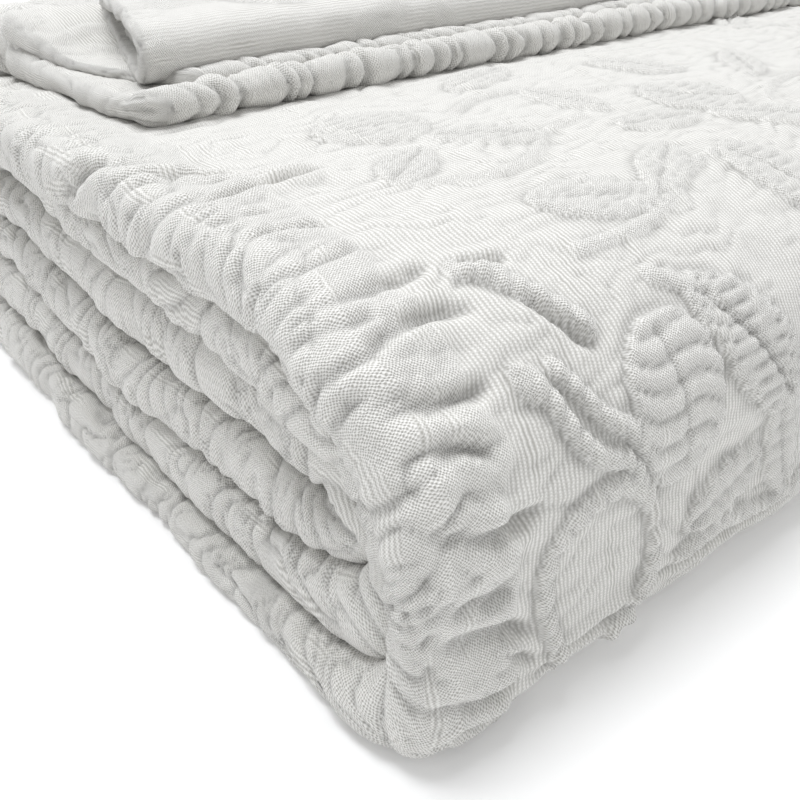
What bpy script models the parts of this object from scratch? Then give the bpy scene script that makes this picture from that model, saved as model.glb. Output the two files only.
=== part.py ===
"""A cotton bedspread, folded in four across its width and then wound into six layers.

The cloth is one piece. Four plies lie together as a band, and the band is wound from its inner end
outwards: over and under itself at the front and at the back, six layers high, with its hem end
brought over the top. Metres, +Z up, the front long side faces -Y and the folded edges face -X.
"""

import math
from collections import namedtuple

import bmesh
import bpy
from mathutils import Vector, noise

# Outer size of the folded bundle.
WIDTH = 0.600
DEPTH = 0.384

# Space between two layers that lie on each other.
LAYER_GAP = 0.0012

# Where the front turns begin and where the back turns begin, from the front face.
FRONT_TURN = 0.080
BACK_TURN = 0.300

# Heights of the lines between the layers, at distances from the front face. The layers are called
# A, B, C, D, E and F from the floor up, and the lines are numbered from the floor up.
Heights = namedtuple("Heights", "from_front floor a_b b_c c_d d_e e_f top")
LAYER_HEIGHTS = (
    Heights(0.080, 0.0, 0.0105, 0.0290, 0.0500, 0.0755, 0.0945, 0.1170),
    Heights(0.120, 0.0, 0.0100, 0.0285, 0.0510, 0.0780, 0.0970, 0.1190),
    Heights(0.170, 0.0, 0.0105, 0.0290, 0.0515, 0.0785, 0.0985, 0.1200),
    Heights(0.225, 0.0, 0.0150, 0.0345, 0.0550, 0.0785, 0.0975, 0.1190),
    Heights(0.300, 0.0, 0.0205, 0.0430, 0.0600, 0.0780, 0.0965, 0.1180),
)
DEEPEST_LINE = 3
TOP_LINE = 6

# The lines that each layer lies between: on the wound band's inner side and on its outer side.
LayerLines = namedtuple("LayerLines", "inner outer")
LAYER_LINES = {
    "D": LayerLines(3, 4),
    "C": LayerLines(3, 2),
    "E": LayerLines(4, 5),
    "B": LayerLines(2, 1),
    "F": LayerLines(5, 6),
    "A": LayerLines(1, 0),
}

# The nested turns, from the innermost outwards: how far each one's tip stays from the outer face,
# and how square its upper and lower corners are. 2 is an ellipse.
Turn = namedtuple("Turn", "tip upper_power lower_power")
FRONT_TURNS = (
    Turn(0.0500, 2.0, 2.0),
    Turn(0.0325, 2.0, 2.3),
    Turn(0.0155, 2.0, 4.2),
    Turn(0.0000, 2.1, 8.0),
)
BACK_TURNS = (
    Turn(0.0600, 2.0, 2.0),
    Turn(0.0400, 2.2, 2.2),
    Turn(0.0200, 2.3, 2.8),
    Turn(0.0000, 3.0, 4.0),
)
OUTERMOST_TURN = 2
INNER_TURN_STEPS = 6
OUTER_TURN_STEPS = 8

# How far each layer's folded edge stays behind the side faces: on the left near the front, in the
# middle and near the back, and on the right. A negative one stands out.
Inset = namedtuple("Inset", "near middle far right")
INSETS = {
    "D": Inset(0.007, 0.003, 0.007, 0.006),
    "C": Inset(0.003, 0.001, 0.005, 0.002),
    "E": Inset(0.002, 0.004, 0.016, 0.005),
    "B": Inset(-0.003, -0.002, 0.001, 0.004),
    "F": Inset(-0.001, -0.004, -0.001, 0.000),
    "A": Inset(-0.010, -0.009, -0.006, 0.001),
}
HEM_INSET = Inset(0.031, 0.029, 0.024, 0.014)
HEM_UPPER_INSET = Inset(0.046, 0.038, 0.024, 0.020)
FLAP_INSET = Inset(0.043, 0.040, 0.030, 0.026)

# The end on top: its lower pair of plies stops in two hem rolls, and its upper pair is turned back
# on itself in one smooth fold.
END_TOP = 0.1400
END_SPLIT = 0.1290
HEM_TIP = 0.190
HEM_PAIR_START = 0.272
HEM_SPLIT_START = 0.232
HEM_ROLL_HEIGHT = 0.1318
HEM_NECK = 0.020
HEM_NARROWING = 0.08
LOWER_HEM_SHARE = 0.62
UPPER_HEM_STEP = 0.006
FLAP_TIP = 0.205
FLAP_INNER_TIP = 0.214
FLAP_UNDERSIDE = 0.1312
FLAP_MIDDLE = 0.1408
FLAP_TOP = 0.1504
FLAP_BACK_END = 0.296
FLAP_PLACES = (0.268, 0.240, 0.2225)
FLAP_STEPS = 6

# The inner end of the band, rolled in a hem.
INNER_END = 0.314
END_ROUNDING = ((0.0000, 0.42), (0.0015, 0.80), (0.0050, 1.00))

# Folded edges are half round: steps over each edge, and how thin the edge's last strip is.
LEFT_EDGE_STEPS = 5
RIGHT_EDGE_STEPS = 3
EDGE_THINNEST = 0.14
BODY_STEPS = 11

# Slow unevenness of the whole bundle: a swell in height, a sway of the front face and a sway of the
# folded edges, and the lengths over which each one changes.
SWELL = 0.014
SWELL_SPAN_X = 0.13
SWELL_SPAN_Y = 0.11
FRONT_SWAY = 0.0030
FRONT_SWAY_SPAN_X = 0.12
FRONT_SWAY_SPAN_Z = 0.07
FRONT_SWAY_DEPTH = 0.12
FRONT_SWAY_LIFT = 0.02
EDGE_SWAY = 0.0035
EDGE_SWAY_SPAN = 0.045

# How far the bundle's weight pushes the foot of the front face out, how high and how far back.
FOOT_SPREAD = 0.0055
FOOT_HEIGHT = 0.050
FOOT_DEPTH = 0.06

# Relief woven into the cloth, on the faces that show: puckers that run along X, and raised leaves.
PUCKER_HEIGHT = 0.0016
PUCKER_PITCH = 0.024
PUCKER_DRIFT = 1.4
PUCKER_DRIFT_SPAN = (0.05, 0.08)
PUCKER_PATCH_SPAN = (0.04, 0.03)
LEAF_HEIGHT = 0.0028
LEAF_SHARPNESS = 8.0
RING_SOFTNESS = 0.08
SHOWN_STEP = 0.012
SHOWN_UNDER_HEM = 0.02
FRONT_FACE_DEPTH = 0.02
RELIEF_FADE = 0.035

# Raised leaves and rings on the shown faces. Each has its centre along X, its centre along the cloth
# from the front turn's start (down the front is positive), its length, its width and its lean.
Leaf = namedtuple("Leaf", "x along length width lean ring")
LEAVES = (
    Leaf(-0.205, 0.062, 0.046, 0.030, 80, False),
    Leaf(-0.150, 0.040, 0.052, 0.026, 20, False),
    Leaf(-0.195, 0.108, 0.052, 0.034, 70, True),
    Leaf(-0.238, 0.060, 0.036, 0.016, 150, False),
    Leaf(-0.110, 0.100, 0.060, 0.022, 35, False),
    Leaf(-0.080, 0.020, 0.050, 0.028, -25, False),
    Leaf(-0.020, 0.085, 0.056, 0.034, 60, True),
    Leaf(0.050, 0.035, 0.058, 0.030, 15, False),
    Leaf(0.105, 0.095, 0.050, 0.032, 100, False),
    Leaf(0.170, 0.055, 0.054, 0.028, -35, False),
    Leaf(0.225, 0.105, 0.046, 0.030, 60, True),
    Leaf(-0.215, -0.045, 0.050, 0.024, 30, False),
    Leaf(-0.140, -0.070, 0.056, 0.030, -40, False),
    Leaf(-0.060, -0.045, 0.048, 0.026, 65, False),
    Leaf(0.020, -0.080, 0.056, 0.030, 10, True),
    Leaf(0.095, -0.050, 0.052, 0.026, -60, False),
    Leaf(0.180, -0.075, 0.056, 0.030, 30, False),
    Leaf(0.245, -0.035, 0.044, 0.024, 80, False),
)

CLOTH_COLOUR = (0.83, 0.825, 0.795, 1.0)

Rung = namedtuple("Rung", "inner outer left right")


def lerp(a, b, t):
    """The value a share t of the way from a to b."""
    return a + (b - a) * t


def line_height(line, from_front):
    """Height of one line between layers, at a distance from the front face."""
    rows = LAYER_HEIGHTS
    if from_front <= rows[0].from_front:
        return rows[0][line + 1]
    for near, far in zip(rows, rows[1:]):
        if from_front <= far.from_front:
            t = (from_front - near.from_front) / (far.from_front - near.from_front)
            smooth = t * t * (3 - 2 * t)
            return lerp(near[line + 1], far[line + 1], smooth)
    return rows[-1][line + 1]


def turn_point(turn, start, tip, low, high, angle):
    """A point on one nested turn: angle is -90 degrees at its lower line and 90 at its upper one."""
    power = turn.upper_power if angle > 0 else turn.lower_power
    out = abs(math.cos(angle)) ** (2 / power)
    up = math.copysign(abs(math.sin(angle)) ** (2 / power), angle)
    middle = (low + high) / 2
    return lerp(start, tip, out), middle + up * (high - low) / 2


def front_point(ring, angle):
    """A point on the front turn with this number, counted from the innermost."""
    turn = FRONT_TURNS[ring]
    low = line_height(DEEPEST_LINE - ring, FRONT_TURN)
    high = line_height(DEEPEST_LINE + ring, FRONT_TURN)
    return turn_point(turn, FRONT_TURN, turn.tip, low, high, angle)


def back_point(ring, angle):
    """A point on the back turn with this number, counted from the innermost."""
    turn = BACK_TURNS[ring]
    low = line_height(DEEPEST_LINE - ring, BACK_TURN)
    upper = DEEPEST_LINE + ring + 1
    high = END_TOP if ring == len(BACK_TURNS) - 1 else line_height(upper, BACK_TURN)
    return turn_point(turn, BACK_TURN, DEPTH - turn.tip, low, high, angle)


def left_inset(inset, from_front):
    """How far a layer's folded edge stays behind the left face, at a distance from the front."""
    t = (from_front - FRONT_TURN) / (BACK_TURN - FRONT_TURN)
    if t < 0.5:
        return lerp(inset.near, inset.middle, max(t, 0) * 2)
    return lerp(inset.middle, inset.far, min(t, 1) * 2 - 1)


def run(layer, places):
    """The rungs of one straight layer at these distances from the front face."""
    lines, inset = LAYER_LINES[layer], INSETS[layer]
    return [
        Rung(
            (place, line_height(lines.inner, place)),
            (place, line_height(lines.outer, place)),
            left_inset(inset, place),
            inset.right,
        )
        for place in places
    ]


def turn(point, ring, layer_from, layer_to, place, upward):
    """The rungs of a turn between two layers, without its first and last, which the runs hold."""
    steps = OUTER_TURN_STEPS if ring == OUTERMOST_TURN else INNER_TURN_STEPS
    before, after = INSETS[layer_from], INSETS[layer_to]
    rungs = []
    for step in range(1, steps):
        share = step / steps
        angle = math.pi * (share - 0.5) * (1 if upward else -1)
        left = lerp(left_inset(before, place), left_inset(after, place), share)
        right = lerp(before.right, after.right, share)
        rungs.append(Rung(point(ring, angle), point(ring + 1, angle), left, right))
    return rungs


def rounded_end(low, high, tip, backwards, inset):
    """The rungs of a hem roll or a plain end between two heights, from full thickness to its tip."""
    middle, half = (low + high) / 2, (high - low) / 2
    rungs = []
    for behind, share in reversed(END_ROUNDING):
        place = tip - behind if backwards else tip + behind
        ends = (place, middle - half * share), (place, middle + half * share)
        rungs.append(Rung(ends[0], ends[1], left_inset(inset, place), inset.right))
    return rungs


def wound_band():
    """The rungs of the band from its inner end to the place where the end on top splits."""
    going_front = [row.from_front for row in reversed(LAYER_HEIGHTS)]
    going_back = going_front[::-1]
    inner, outer = (line_height(line, BACK_TURN) for line in LAYER_LINES["D"])
    inner_hem = rounded_end(inner, outer, INNER_END, True, INSETS["D"])
    return (
        inner_hem[::-1]
        + run("D", going_front)
        + turn(front_point, 0, "D", "C", FRONT_TURN, False)
        + run("C", going_back)
        + turn(back_point, 0, "C", "E", BACK_TURN, True)
        + run("E", going_front)
        + turn(front_point, 1, "E", "B", FRONT_TURN, False)
        + run("B", going_back)
        + turn(back_point, 1, "B", "F", BACK_TURN, True)
        + run("F", going_front)
        + turn(front_point, 2, "F", "A", FRONT_TURN, False)
        + run("A", going_back)
        + end_turn()
    )


def end_turn():
    """The outermost back turn, from the floor up to the end on top."""
    rungs = []
    for step in range(1, OUTER_TURN_STEPS + 1):
        share = step / OUTER_TURN_STEPS
        angle = math.pi * (share - 0.5)
        left = lerp(INSETS["A"].far, HEM_INSET.far, share)
        right = lerp(INSETS["A"].right, HEM_INSET.right, share)
        inner = back_point(OUTERMOST_TURN, angle)
        outer = back_point(OUTERMOST_TURN + 1, angle)
        rungs.append(Rung(inner, outer, left, right))
    return rungs


def hem_pair(places):
    """The rungs of the end's lower pair of plies, before it parts into its two hem rolls."""
    rungs = []
    for place in places:
        share = (BACK_TURN - place) / (BACK_TURN - HEM_SPLIT_START)
        top = lerp(END_SPLIT, HEM_ROLL_HEIGHT, share)
        rungs.append(
            Rung(
                (place, line_height(TOP_LINE, place)),
                (place, top),
                left_inset(HEM_INSET, place),
                HEM_INSET.right,
            )
        )
    return rungs


def hem_roll(low, high, tip, inset):
    """One hem roll, from where the pair parts to its tip, with its swollen last stretch."""
    neck = tip + HEM_NECK
    narrow = (high - low) * HEM_NARROWING
    rungs = [
        Rung((neck, low + narrow), (neck, high - narrow), left_inset(inset, neck), inset.right)
    ]
    return rungs + rounded_end(low, high, tip, False, inset)


def flap():
    """The end's upper pair: forwards, round its smooth fold, and back on itself to a plain end.

    Each rung goes from the pair's shown side (its underside before the fold and its top after it) to
    the side that ends up between its two halves.
    """
    forwards = flap_run(FLAP_UNDERSIDE, FLAP_PLACES)
    backwards = flap_run(FLAP_TOP, FLAP_PLACES[::-1])
    half = (FLAP_TOP - FLAP_UNDERSIDE) / 2
    start = FLAP_PLACES[-1]
    left = left_inset(FLAP_INSET, FLAP_TIP)
    fold = []
    for step in range(1, FLAP_STEPS):
        angle = math.pi * (step / FLAP_STEPS - 0.5)
        shown = (lerp(start, FLAP_TIP, math.cos(angle)), FLAP_MIDDLE + half * math.sin(angle))
        between = (lerp(start, FLAP_INNER_TIP, math.cos(angle)), FLAP_MIDDLE)
        fold.append(Rung(shown, between, left, FLAP_INSET.right))
    tail = rounded_end(FLAP_TOP, FLAP_MIDDLE, FLAP_BACK_END, True, FLAP_INSET)
    return forwards + fold + backwards + tail


def flap_run(height, places):
    """The rungs of one straight half of the flap, from its shown side to the middle."""
    return [
        Rung((place, height), (place, FLAP_MIDDLE), left_inset(FLAP_INSET, place), FLAP_INSET.right)
        for place in places
    ]


class Section:
    """The outline of the wound band: its points, and the cells between neighbouring rungs."""

    def __init__(self):
        self.points = []
        self.cells = []

    def point(self, place, centre, rung, along):
        """Adds one point and returns its number."""
        self.points.append((place, centre, rung, along))
        return len(self.points) - 1

    def rung(self, rung, along):
        """Adds a rung's two ends, each half a gap inside it, and returns their numbers."""
        inner, outer = Vector(rung.inner), Vector(rung.outer)
        centre = (inner + outer) / 2
        inner += (centre - inner).normalized() * LAYER_GAP / 2
        outer += (centre - outer).normalized() * LAYER_GAP / 2
        return (
            self.point(inner, centre, rung, along),
            self.point(outer, centre, rung, along),
        )

    def strip(self, rungs, first=None, along=0.0):
        """Adds a branch of rungs, after a first rung that is already there."""
        ends = [] if first is None else [first]
        previous = None
        for rung in rungs:
            centre = (Vector(rung.inner) + Vector(rung.outer)) / 2
            if previous is not None:
                along += (centre - previous).length
            previous = centre
            ends.append(self.rung(rung, along))
        for before, after in zip(ends, ends[1:]):
            self.cells.append((before[0], after[0], after[1], before[1]))
        return ends, along

    def part(self, ends):
        """Parts the last rung in two at its middle, and returns the two rungs that start there."""
        inner, outer = ends[-1]
        _, centre, rung, along = self.points[inner]
        middle = self.point(centre, centre, rung, along)
        before = self.cells.pop()
        self.cells.append((before[0], inner, middle, outer, before[3]))
        return (inner, middle), (middle, outer)


def section():
    """The whole section, with the distances along the cloth of its points."""
    shape = Section()
    ends, along = shape.strip(wound_band())
    lower, upper = shape.part(ends)
    lower_ends, _ = shape.strip(hem_pair((HEM_PAIR_START, HEM_SPLIT_START)), lower, along)
    low_roll, high_roll = shape.part(lower_ends)
    floor = line_height(TOP_LINE, HEM_SPLIT_START)
    middle = lerp(floor, HEM_ROLL_HEIGHT, LOWER_HEM_SHARE)
    shape.strip(hem_roll(floor, middle, HEM_TIP, HEM_INSET), low_roll, along)
    upper_tip = HEM_TIP + UPPER_HEM_STEP
    shape.strip(hem_roll(middle, HEM_ROLL_HEIGHT, upper_tip, HEM_UPPER_INSET), high_roll, along)
    shape.strip(flap(), upper, along)
    return shape


def stations():
    """The steps across X: which side's folded edge, its rounding, and the share across the body."""
    rows = []
    for step in range(LEFT_EDGE_STEPS):
        rows.append(("left", step / LEFT_EDGE_STEPS, 0.0))
    for step in range(BODY_STEPS + 1):
        rows.append(("body", 1.0, step / BODY_STEPS))
    for step in reversed(range(RIGHT_EDGE_STEPS)):
        rows.append(("right", step / RIGHT_EDGE_STEPS, 1.0))
    return rows


def wander(along, seed):
    """Slow, even-tempered unevenness of about one, at a place along the cloth."""
    return noise.noise(Vector((along / EDGE_SWAY_SPAN, seed, 0.5)))


def placed(point, station):
    """Where a section point stands at one station across X, before the bundle's unevenness."""
    place, centre, rung, along = point
    side, rounding, across = station
    half = (Vector(rung.inner) - Vector(rung.outer)).length / 2
    left = -WIDTH / 2 + rung.left + EDGE_SWAY * (0.5 + wander(along, 3.0))
    right = WIDTH / 2 - rung.right - EDGE_SWAY * (0.5 + wander(along, 8.0))
    quarter = rounding * math.pi / 2
    thick = max(math.sin(quarter), EDGE_THINNEST)
    inward = half * (1 - math.cos(quarter))
    if side == "left":
        x = left + inward
    elif side == "right":
        x = right - inward
    else:
        x = lerp(left + half, right - half, across)
    y, z = centre + (place - centre) * thick
    return Vector((x, y, z))


def uneven(spot):
    """The bundle's slow unevenness: a swell in height that leaves the floor flat, and a sway in Y."""
    x, y = spot.x, spot.y
    z = spot.z - LAYER_GAP / 2
    swell = noise.noise(Vector((x / SWELL_SPAN_X, y / SWELL_SPAN_Y, 2.0)))
    sway = noise.noise(Vector((x / FRONT_SWAY_SPAN_X, 5.0, z / FRONT_SWAY_SPAN_Z)))
    front = max(0.0, 1 - y / FRONT_SWAY_DEPTH)
    lift = min(z / FRONT_SWAY_LIFT, 1.0)
    foot = FOOT_SPREAD * max(0.0, 1 - z / FOOT_HEIGHT) * max(0.0, 1 - y / FOOT_DEPTH)
    return Vector((x, y + FRONT_SWAY * sway * front * lift - foot, z * (1 + SWELL * swell)))


def leaf_relief(x, along):
    """Height of the raised leaves and rings at a place on the shown faces."""
    height = 0.0
    for leaf in LEAVES:
        lean = math.radians(leaf.lean)
        dx, ds = x - leaf.x, along - leaf.along
        u = (dx * math.cos(lean) + ds * math.sin(lean)) / (leaf.length / 2)
        v = (ds * math.cos(lean) - dx * math.sin(lean)) / (leaf.width / 2)
        reach = math.hypot(u, v)
        if leaf.ring:
            height = max(height, math.exp(-((reach - 1) ** 2) / RING_SOFTNESS))
        else:
            height = max(height, 1 / (1 + math.exp((reach - 1) * LEAF_SHARPNESS)))
    return LEAF_HEIGHT * height


def pucker(x, along):
    """Height of the cross puckers, which come and go across the cloth."""
    drift_x, drift_s = PUCKER_DRIFT_SPAN
    patch_x, patch_s = PUCKER_PATCH_SPAN
    drift = noise.noise(Vector((x / drift_x, along / drift_s, 1.0)))
    phase = along / PUCKER_PITCH + PUCKER_DRIFT * drift
    strength = 0.5 + noise.noise(Vector((x / patch_x, along / patch_s, 7.0)))
    return PUCKER_HEIGHT * strength * math.sin(2 * math.pi * phase)


def build_mesh(shape):
    """The closed mesh: the section carried over all the stations, with both ends closed."""
    mesh = bmesh.new()
    along_layer = mesh.verts.layers.float.new("along")
    show_layer = mesh.verts.layers.float.new("show")
    edges = {
        (cell[i], cell[(i + 1) % len(cell)]) for cell in shape.cells for i in range(len(cell))
    }
    rim = sorted(edge for edge in edges if (edge[1], edge[0]) not in edges)
    first, last, origin = shown_range(shape)
    rows = stations()
    grid = []
    for station in rows:
        row = []
        for point in shape.points:
            vert = mesh.verts.new(uneven(placed(point, station)))
            place, centre, rung, along = point
            vert[along_layer] = along - origin
            outer = (place - centre).dot(Vector(rung.outer) - centre) > 0
            shown = outer and first < along < last and station[0] == "body"
            vert[show_layer] = 1.0 if shown else 0.0
            row.append(vert)
        grid.append(row)
    for near, far in zip(grid, grid[1:]):
        for a, b in rim:
            mesh.faces.new((near[a], near[b], far[b], far[a]))
    for cell in shape.cells:
        mesh.faces.new([grid[0][i] for i in reversed(cell)])
        mesh.faces.new([grid[-1][i] for i in cell])
    bmesh.ops.recalc_face_normals(mesh, faces=mesh.faces)
    refine_shown_faces(mesh, along_layer, show_layer)
    raise_relief(mesh, along_layer, show_layer)
    return mesh


def shown_range(shape):
    """Where the shown top and front face start and end along the cloth, and the turn's own start."""
    turn_start = (FRONT_TURN, line_height(TOP_LINE, FRONT_TURN))
    start = next(along for _, _, rung, along in shape.points if rung.outer == turn_start)
    first = start - (HEM_TIP - FRONT_TURN) - SHOWN_UNDER_HEM
    front = [
        along
        for _, _, rung, along in shape.points
        if rung.outer[0] < FRONT_FACE_DEPTH and along > start
    ]
    return first, max(front), start


def refine_shown_faces(mesh, along_layer, show_layer):
    """Cuts the shown faces to small squares, first across X and then along the cloth."""
    for across in (True, False):
        chosen = {}
        for edge in mesh.edges:
            first, second = edge.verts
            shown = first[show_layer] > 0.5 and second[show_layer] > 0.5
            climb = abs(second[along_layer] - first[along_layer])
            if not shown or (climb < 1e-6) != across:
                continue
            span = abs(second.co.x - first.co.x) if across else climb
            cuts = round(span / SHOWN_STEP) - 1
            chosen.setdefault(cuts, []).append(edge)
        for cuts in sorted(cuts for cuts in chosen if cuts > 0):
            bmesh.ops.subdivide_edges(mesh, edges=chosen[cuts], cuts=cuts, use_grid_fill=True)


def raise_relief(mesh, along_layer, show_layer):
    """Moves the shown faces' points out by the cloth's relief."""
    mesh.normal_update()
    moves = []
    for vert in mesh.verts:
        if vert[show_layer] > 0.0:
            x, along = vert.co.x, vert[along_layer]
            near_edge = min(1.0, max(0.0, WIDTH / 2 - abs(x)) / RELIEF_FADE)
            near_floor = min(1.0, vert.co.z / RELIEF_FADE)
            height = (leaf_relief(x, along) + pucker(x, along)) * near_edge * near_floor
            moves.append((vert, vert.normal * height * vert[show_layer]))
    for vert, move in moves:
        vert.co += move


def settle(mesh):
    """Stands the bundle on the floor with the middle of its footprint at the origin."""
    spots = [vert.co for vert in mesh.verts]
    low = Vector([min(spot[i] for spot in spots) for i in range(3)])
    high = Vector([max(spot[i] for spot in spots) for i in range(3)])
    middle = (low + high) / 2
    for vert in mesh.verts:
        vert.co -= Vector((middle.x, middle.y, low.z))


def cloth_material():
    """Off-white cotton."""
    material = bpy.data.materials.new("white cotton")
    material.use_nodes = True
    shader = material.node_tree.nodes["Principled BSDF"]
    shader.inputs["Base Color"].default_value = CLOTH_COLOUR
    shader.inputs["Roughness"].default_value = 0.85
    shader.inputs["Metallic"].default_value = 0.0
    return material


def clear_scene():
    """Removes the objects of the opened scene."""
    for item in list(bpy.data.objects):
        bpy.data.objects.remove(item, do_unlink=True)


def main():
    """Builds the bedspread."""
    clear_scene()
    mesh = build_mesh(section())
    settle(mesh)
    data = bpy.data.meshes.new("bedspread")
    mesh.to_mesh(data)
    mesh.free()
    data.shade_smooth()
    data.set_sharp_from_angle(angle=math.radians(50))
    data.materials.append(cloth_material())
    cloth = bpy.data.objects.new("bedspread", data)
    bpy.context.scene.collection.objects.link(cloth)


main()
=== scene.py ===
"""Dresses the folded bedspread: one puckered cotton cloth, four plies of it wound in six layers.

Each stretch of the cloth is a mesh made from the same named sizes as its solid, with its raised
pattern, puckers, creases and hems in its points and its weave in its finish. Metres, +Z up.
"""

import logging
import math
from dataclasses import dataclass
from enum import Enum

import bpy
import numpy as np
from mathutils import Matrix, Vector, noise

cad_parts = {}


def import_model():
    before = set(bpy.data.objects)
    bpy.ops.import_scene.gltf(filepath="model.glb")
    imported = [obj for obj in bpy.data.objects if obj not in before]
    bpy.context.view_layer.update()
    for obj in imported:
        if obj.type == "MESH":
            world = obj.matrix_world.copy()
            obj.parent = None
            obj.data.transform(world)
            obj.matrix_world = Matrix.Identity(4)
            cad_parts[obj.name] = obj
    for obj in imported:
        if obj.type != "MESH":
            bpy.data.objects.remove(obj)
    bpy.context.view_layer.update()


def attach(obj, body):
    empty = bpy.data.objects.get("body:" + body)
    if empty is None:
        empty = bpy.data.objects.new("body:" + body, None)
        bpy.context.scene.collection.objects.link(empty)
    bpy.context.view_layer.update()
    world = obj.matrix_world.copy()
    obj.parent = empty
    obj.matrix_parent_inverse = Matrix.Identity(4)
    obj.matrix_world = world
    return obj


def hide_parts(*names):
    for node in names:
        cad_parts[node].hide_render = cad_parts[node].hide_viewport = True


Socket = bpy.types.NodeSocket
LOG = logging.getLogger("bedspread")
NODE = "bedspread"
BODY = "root"


class Face(Enum):
    """Which way a turn of the band goes round."""

    FRONT = "front"
    BACK = "back"


@dataclass(frozen=True)
class Turn:
    """One nested turn: how far its tip stays from the outer face, and how square its corners are."""

    tip: float
    upper_power: float
    lower_power: float


@dataclass(frozen=True)
class Inset:
    """How far a folded edge stays behind the side faces, near, half way, far back and on the right."""

    near: float
    middle: float
    far: float
    right: float

    def left(self, from_front: np.ndarray, size: "BundleSize") -> np.ndarray:
        """The left inset.

        Args:
            from_front: Distances from the front face.
            size: The bundle's sizes.

        Returns:
            The inset at each distance.
        """
        places = (size.front_turn, (size.front_turn + size.back_turn) / 2, size.back_turn)
        return np.interp(from_front, places, (self.near, self.middle, self.far))


@dataclass(frozen=True)
class BundleSize:
    """The folded bundle's sizes, as in its solid."""

    width: float = 0.600
    depth: float = 0.384
    front_turn: float = 0.080
    back_turn: float = 0.300
    layer_gap: float = 0.0012
    inner_end: float = 0.314
    end_top: float = 0.1440
    middle_x: float = -0.0049
    middle_y: float = 0.1900
    edge_sway: float = 0.0035
    swell: float = 0.014
    front_sway: float = 0.0030
    foot_spread: float = 0.0055
    foot_height: float = 0.050


HEIGHT_PLACES = (0.080, 0.120, 0.170, 0.225, 0.300)
LINE_HEIGHTS = (
    (0.0000, 0.0000, 0.0000, 0.0000, 0.0000),
    (0.0105, 0.0100, 0.0105, 0.0150, 0.0205),
    (0.0290, 0.0285, 0.0290, 0.0345, 0.0430),
    (0.0500, 0.0510, 0.0515, 0.0550, 0.0600),
    (0.0755, 0.0780, 0.0785, 0.0785, 0.0780),
    (0.0945, 0.0970, 0.0985, 0.0975, 0.0965),
    (0.1170, 0.1190, 0.1200, 0.1190, 0.1180),
)
DEEPEST_LINE = 3
FRONT_TURNS = (
    Turn(0.0500, 2.0, 2.0),
    Turn(0.0325, 2.0, 2.3),
    Turn(0.0155, 2.0, 4.2),
    Turn(0.0000, 2.1, 8.0),
)
BACK_TURNS = (
    Turn(0.0600, 2.0, 2.0),
    Turn(0.0400, 2.2, 2.2),
    Turn(0.0200, 2.3, 2.8),
    Turn(0.0000, 3.5, 4.0),
)
INSETS = {
    "D": Inset(0.007, 0.003, 0.007, 0.006),
    "C": Inset(0.003, 0.001, 0.005, 0.002),
    "E": Inset(0.002, 0.004, 0.016, 0.005),
    "B": Inset(-0.003, -0.002, 0.001, 0.004),
    "F": Inset(-0.001, -0.004, -0.001, 0.000),
    "A": Inset(-0.010, -0.009, -0.006, 0.001),
}
HEM_INSET = Inset(0.031, 0.029, 0.024, 0.014)
HEM_UPPER_INSET = Inset(0.056, 0.054, 0.025, 0.020)
FLAP_INSET = Inset(0.043, 0.033, 0.068, 0.026)
LINING_INSET = Inset(0.040, 0.040, 0.072, 0.030)


class GradientNoise:
    """Smooth noise over a plane, from about -1 to 1, the same on every run."""

    def __init__(self, seed: int) -> None:
        """Draws the lattice's slopes.

        Args:
            seed: The number that makes this noise differ from another.
        """
        source = np.random.default_rng(seed)
        self.order = source.permutation(256)
        angle = source.random(256) * 2 * np.pi
        self.slope = np.stack([np.cos(angle), np.sin(angle)])

    def corner(self, ix: np.ndarray, iy: np.ndarray, dx: np.ndarray, dy: np.ndarray) -> np.ndarray:
        """One lattice corner's part of the value.

        Args:
            ix: The corner's column.
            iy: The corner's row.
            dx: Distance from the corner along the first axis.
            dy: Distance from the corner along the second axis.

        Returns:
            The slope's height at that distance.
        """
        pick = self.order[(self.order[ix & 255] + iy) & 255]
        return self.slope[0][pick] * dx + self.slope[1][pick] * dy

    def at(self, x: np.ndarray, y: np.ndarray) -> np.ndarray:
        """The noise at these places.

        Args:
            x: Places along the first axis, in lattice steps.
            y: Places along the second axis, in lattice steps.

        Returns:
            Values from about -1 to 1.
        """
        x, y = np.broadcast_arrays(np.asarray(x, float), np.asarray(y, float))
        ix, iy = np.floor(x).astype(int), np.floor(y).astype(int)
        fx, fy = x - ix, y - iy
        sx = fx * fx * fx * (fx * (fx * 6 - 15) + 10)
        sy = fy * fy * fy * (fy * (fy * 6 - 15) + 10)
        near = self.corner(ix, iy, fx, fy) * (1 - sx) + self.corner(ix + 1, iy, fx - 1, fy) * sx
        far = self.corner(ix, iy + 1, fx, fy - 1) * (1 - sx)
        far = far + self.corner(ix + 1, iy + 1, fx - 1, fy - 1) * sx
        return 1.5 * (near * (1 - sy) + far * sy)


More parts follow.
